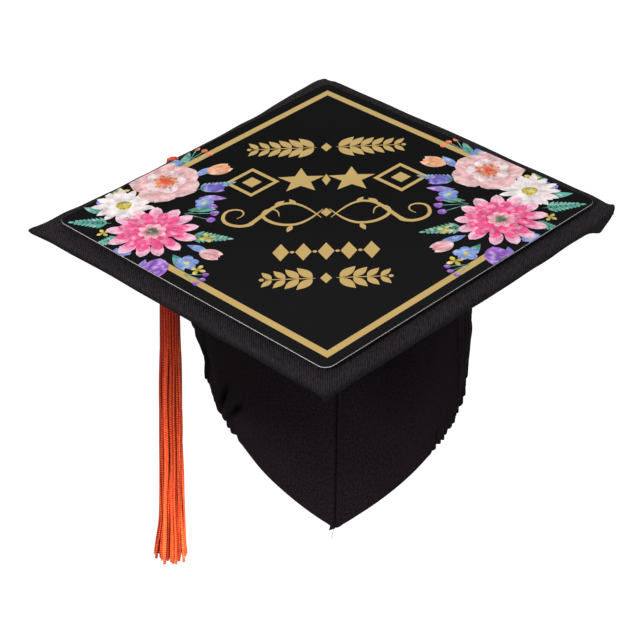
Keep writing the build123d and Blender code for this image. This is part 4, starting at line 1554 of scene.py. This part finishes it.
# %% The skirt's strands, ring by ring
STRAND_RINGS, STRAND_SIDES, FIBRES, FIBRE_RINGS = 64, 7, 5, 5
LAYERS = ((1.0, 21), (0.76, 16), (0.52, 11), (0.28, 6), (0.05, 1))  # share of the radius, strands
dice = random.Random(11)
strand_blank = tube_blank("strand_blank", STRAND_SIDES, STRAND_RINGS)
fibre_blank = tube_blank("fibre_blank", 3, FIBRE_RINGS)
strands = []


def fray(end):
    """Fibres that come loose from a strand's cut end."""
    for fibre in range(FIBRES):
        turn_at, spread = dice.uniform(0, 6.28), dice.uniform(0.1, 1.1)
        length = dice.uniform(0.8, 2.8)
        steps = np.linspace(0, 1, FIBRE_RINGS)
        out = 0.35 + spread * steps
        fall = 0.8 - (length + 0.8) * steps
        line = end + np.column_stack([out * math.cos(turn_at), out * math.sin(turn_at), fall])
        strands.append(lay_tube(fibre_blank, line, 0.13 - 0.09 * steps))


def strand(start, share):
    """One wavy strand from the collar to the foot: where it starts, in radians, and its share of the radius."""
    drift = dice.uniform(-0.22, 0.22)
    phase, pace = dice.uniform(0, 6.28), dice.uniform(0.045, 0.085)
    sway = dice.uniform(0.15, 0.55) * (0.5 + 0.5 * share)
    flare = dice.uniform(-0.5, 1.0) * share
    foot = SKIRT_FOOT + dice.uniform(-0.4, 1.9) - 0.6 * share
    # Painted light and shade: inner strands darker, strands on the right lighter, all darker towards the top under the
    # board.
    painted_brightness = dice.uniform(0.6, 1.15) * (0.3 + 0.7 * share) * (1 + 0.35 * math.cos(start))
    z = np.linspace(COLLAR_FOOT + 1.5, foot, STRAND_RINGS)
    down = (COLLAR_FOOT - z) / (COLLAR_FOOT - SKIRT_FOOT)
    painted_brightness = painted_brightness * (0.05 + 1.9 * np.clip(down, 0, 1) ** 0.9)
    radius = NECK_RADIUS - 0.4 + 1.7 * smooth(down, -0.01, 0.05) + (FOOT_RADIUS - NECK_RADIUS - 1.5) * down
    reach = share * radius + flare * (1.6 * smooth(down, 0.75, 1.0) + 0.9 * smooth(down, 0.95, 1.0))
    angle = start + drift * down
    spill = 3.0 * np.clip(-np.cos(angle), 0, 1) * share * smooth(down, 0.84, 1.0)
    wave = sway * smooth(down, 0, 0.3)
    x = reach * np.cos(angle) - spill + wave * np.sin(pace * z + phase)
    y = reach * np.sin(angle) + wave * np.cos(pace * 1.3 * z + phase)
    thick = 0.92 + 0.18 * down - 0.1 * smooth(down, 0.995, 1.0)
    line = hung(x, y, z)
    strands.append(lay_tube(strand_blank, line, thick, axis_at(z), painted_brightness, dice.uniform(0, 5)))
    fray(line[-1])


for share, count in LAYERS:
    for step in range(count):
        strand(2 * math.pi * (step + dice.uniform(-0.12, 0.12)) / count, share)
tassel_strands = joined("tassel_strands", strands)
print("strands", sum(count for _, count in LAYERS))

# %% The head: yarn laid over from the knot to the neck
CORE_RINGS, YARN_RINGS, HEAD_YARNS, YARN_RADIUS = 24, 26, 21, 0.66
core_z = np.linspace(HEAD_TOP - 0.6, COLLAR_FOOT - 30, CORE_RINGS)
core_levels = [COLLAR_FOOT - 30, COLLAR_FOOT, HEAD_FOOT, HEAD_TOP - 5, HEAD_TOP - 0.6]
core_radius = np.interp(core_z, core_levels, [3.2, 3.5, 3.8, 4.4, 1.2])
core_blank = tube_blank("core_blank", 20, CORE_RINGS)
head_parts = [lay_tube(core_blank, axis_at(core_z), core_radius)]
yarn_blank = tube_blank("yarn_blank", 7, YARN_RINGS)
BULB_LEVELS = [COLLAR_FOOT, HEAD_FOOT - 1, *(HEAD_TOP - fall for fall in (10, 8, 4.5, 1.6)), HEAD_TOP + 0.3]
z = np.linspace(HEAD_TOP + 0.3, COLLAR_FOOT + 1, YARN_RINGS)
bulb = np.interp(z, BULB_LEVELS, [3.9, 4.0, 4.5, 4.95, 4.75, 3.4, 1.2])
# Painted shade: the head's yarn is as dark as the top of the skirt under the board.
for step in range(HEAD_YARNS):
    twist = 2 * math.pi * step / HEAD_YARNS + dice.uniform(-0.05, 0.05) + 0.15 * np.sin((z - HEAD_TOP) / 9)
    head_parts.append(lay_tube(yarn_blank, around(bulb, twist, z), YARN_RADIUS, axis_at(z), dice.uniform(0.3, 0.5)))
tassel_bulb = joined("tassel_bulb", head_parts)

# %% The collar: thread wound seven and a half times round the neck
WINDINGS, WINDING_RINGS, WINDING_REACH, WINDING_RADIUS = 7.5, 210, 5.15, 0.52
wound = np.linspace(0, 1, WINDING_RINGS)
z = HEAD_FOOT - 0.45 + (COLLAR_FOOT - HEAD_FOOT + 0.9) * wound
winding = around(WINDING_REACH, 2 * math.pi * WINDINGS * wound, z)
winding_blank = tube_blank("winding_blank", 7, WINDING_RINGS)
# Painted shade: the winding is as dark as the head.
tassel_winding = named("tassel_winding", lay_tube(winding_blank, winding, WINDING_RADIUS, painted_brightness=0.35))
print("windings", WINDINGS)

# %% The knot on the head: four turns of cord round a solid core
KNOT_TURNS = ((20, 0, 1.95), (-58, 40, 1.8), (62, -50, 1.8), (90, 10, 1.5))  # tilt, turn, radius
KNOT_HALF, KNOT_CORE, KNOT_RINGS = 2.6, 2.0, 61
knot_centre = axis_at(np.array([KNOT_LEVEL]))[0]
knot_parts = []
steps = np.linspace(0, 2 * math.pi, KNOT_RINGS)
for tilt, turn, across in KNOT_TURNS:
    circle = np.column_stack([across * np.cos(steps), across * np.sin(steps), 0 * steps])
    turned = np.array(rotation(turn, "Z") @ rotation(tilt, "X"))
    knot_parts.append(twisted("knot_turn", knot_centre + circle @ turned.T, sides=6))
steps = np.linspace(-1, 1, CORE_RINGS)
core_line = knot_centre + np.column_stack([0 * steps, 0 * steps, KNOT_HALF * steps])
knot_parts.append(lay_tube(core_blank, core_line, KNOT_CORE * np.sqrt(np.clip(1 - steps**2, 0.01, 1))))
tassel_knot_turns = joined("tassel_knot_turns", knot_parts)
discard(strand_blank, fibre_blank, core_blank, yarn_blank, winding_blank)

# %% The tassel's finishes
skirt_yarn = yarn_finish("skirt_yarn", 0.0021, 2.0, 0.00022)
binding_yarn = yarn_finish("binding_yarn", 0.0009, 1.0, 0.0001, ink(222, 62, 30))
for piece, node, slot, finish in (
    (tassel_strands, "tassel_skirt", "tassel_yarn", skirt_yarn),
    (tassel_bulb, "tassel_head", "tassel_yarn", skirt_yarn),
    (tassel_winding, "tassel_collar", "tassel_binding", binding_yarn),
    (tassel_knot_turns, "tassel_knot", "tassel_yarn", cord_yarn),
):
    dress(piece, finish)
    declare(piece, "tassel", slot, node)

# %% [markdown]
# ## Foam pads
# Square foam pads hold the topper up over the cord. Foam is soft, so each pad bulges a little between the board and
# the card. One pad is modelled, with its sides pressed out and its skin finely pitted, and then copied.

# %% One pad, then its copies
PAD_HALF, PAD_BULGE = 12.15, 0.55
PAD_PLACES = (  # distance from the middle, and the directions in degrees
    (132, (0, 90, 180, 270)), (98, (-135, -45, 45)), (46, (0, 90, 180, 270)),
)
bpy.ops.mesh.primitive_cube_add(size=1)
pad_blank = named("pad_blank")
edit_all(pad_blank)
bpy.ops.mesh.subdivide(number_cuts=9)
leave_edit()


def pad_rule(x, y, z):
    """A unit cube pressed to a pad: its waist stands out and its corners are a little rounded."""
    x, y, z = x * MM, y * MM, z * MM
    side = PAD_HALF + PAD_BULGE * (1 - (2 * z) ** 2)
    pull = 1 - 0.03 * smooth(np.hypot(x, y) * 2, 1.15, 1.414)
    return 2 * x * side * pull, 2 * y * side * pull, (BOARD_TOP + CARD_BOTTOM) / 2 + z * (CARD_BOTTOM - BOARD_TOP)


mould(pad_blank, pad_rule)
pads = []
for distance, directions in PAD_PLACES:
    for direction in directions:
        at = [distance * c for c in heading(direction)]
        pads.append(stamp(pad_blank, lambda x, y, z: placed(x, y, at, 45, z)))
discard(pad_blank)
foam_pads = joined("foam_pad_set", pads)
bpy.ops.object.shade_smooth_by_angle(angle=math.radians(40))
foam, tree, shader = finish_for("white_foam", 0.95, Specular_IOR_Level=0.15)
cells = add(tree, "TexVoronoi", {"Vector": place_of(tree), "Scale": 1400.0})
speck = use(tree, blotches, Vector=place_of(tree), Scale=120.0, Amount=0.3)
colour_times(tree, shader, ink(214, 210, 202), speck.outputs["Shade"])
bump(tree, shader, cells.outputs["Distance"], 0.0003)
dress(foam_pads, foam)
declare(foam_pads, "cap", "pad_foam", "topper_foam_pads")

# %% [markdown]
# ## Parts that keep their machined shape
# The stiff board, the button, its pin and its washer are hard parts, so their CAD shapes stay and only get finishes.

# %% Board, button and metal
DRAWN = (1.0, 1.0, 0.05)  # the marks of drawn wire are long in Z
greyboard = mottled("greyboard", 0.9, (150, 140, 126), 180.0, 0.5, 0.0002, Specular_IOR_Level=0.2)
button_black = mottled("button_black", 0.35, (28, 27, 29), 400.0, 0.2, 0.00002, Specular_IOR_Level=0.45)
pin_steel = mottled("pin_steel", 0.32, (188, 186, 180), 900.0, 0.35, 0.00003, DRAWN, Metallic=1.0)
for node, finish in (
    ("mortarboard_core", greyboard), ("button", button_black), ("button_pin", pin_steel), ("button_washer", pin_steel)
):
    dress(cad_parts[node], finish)
    print(node, "keeps its CAD shape, in", finish.name)
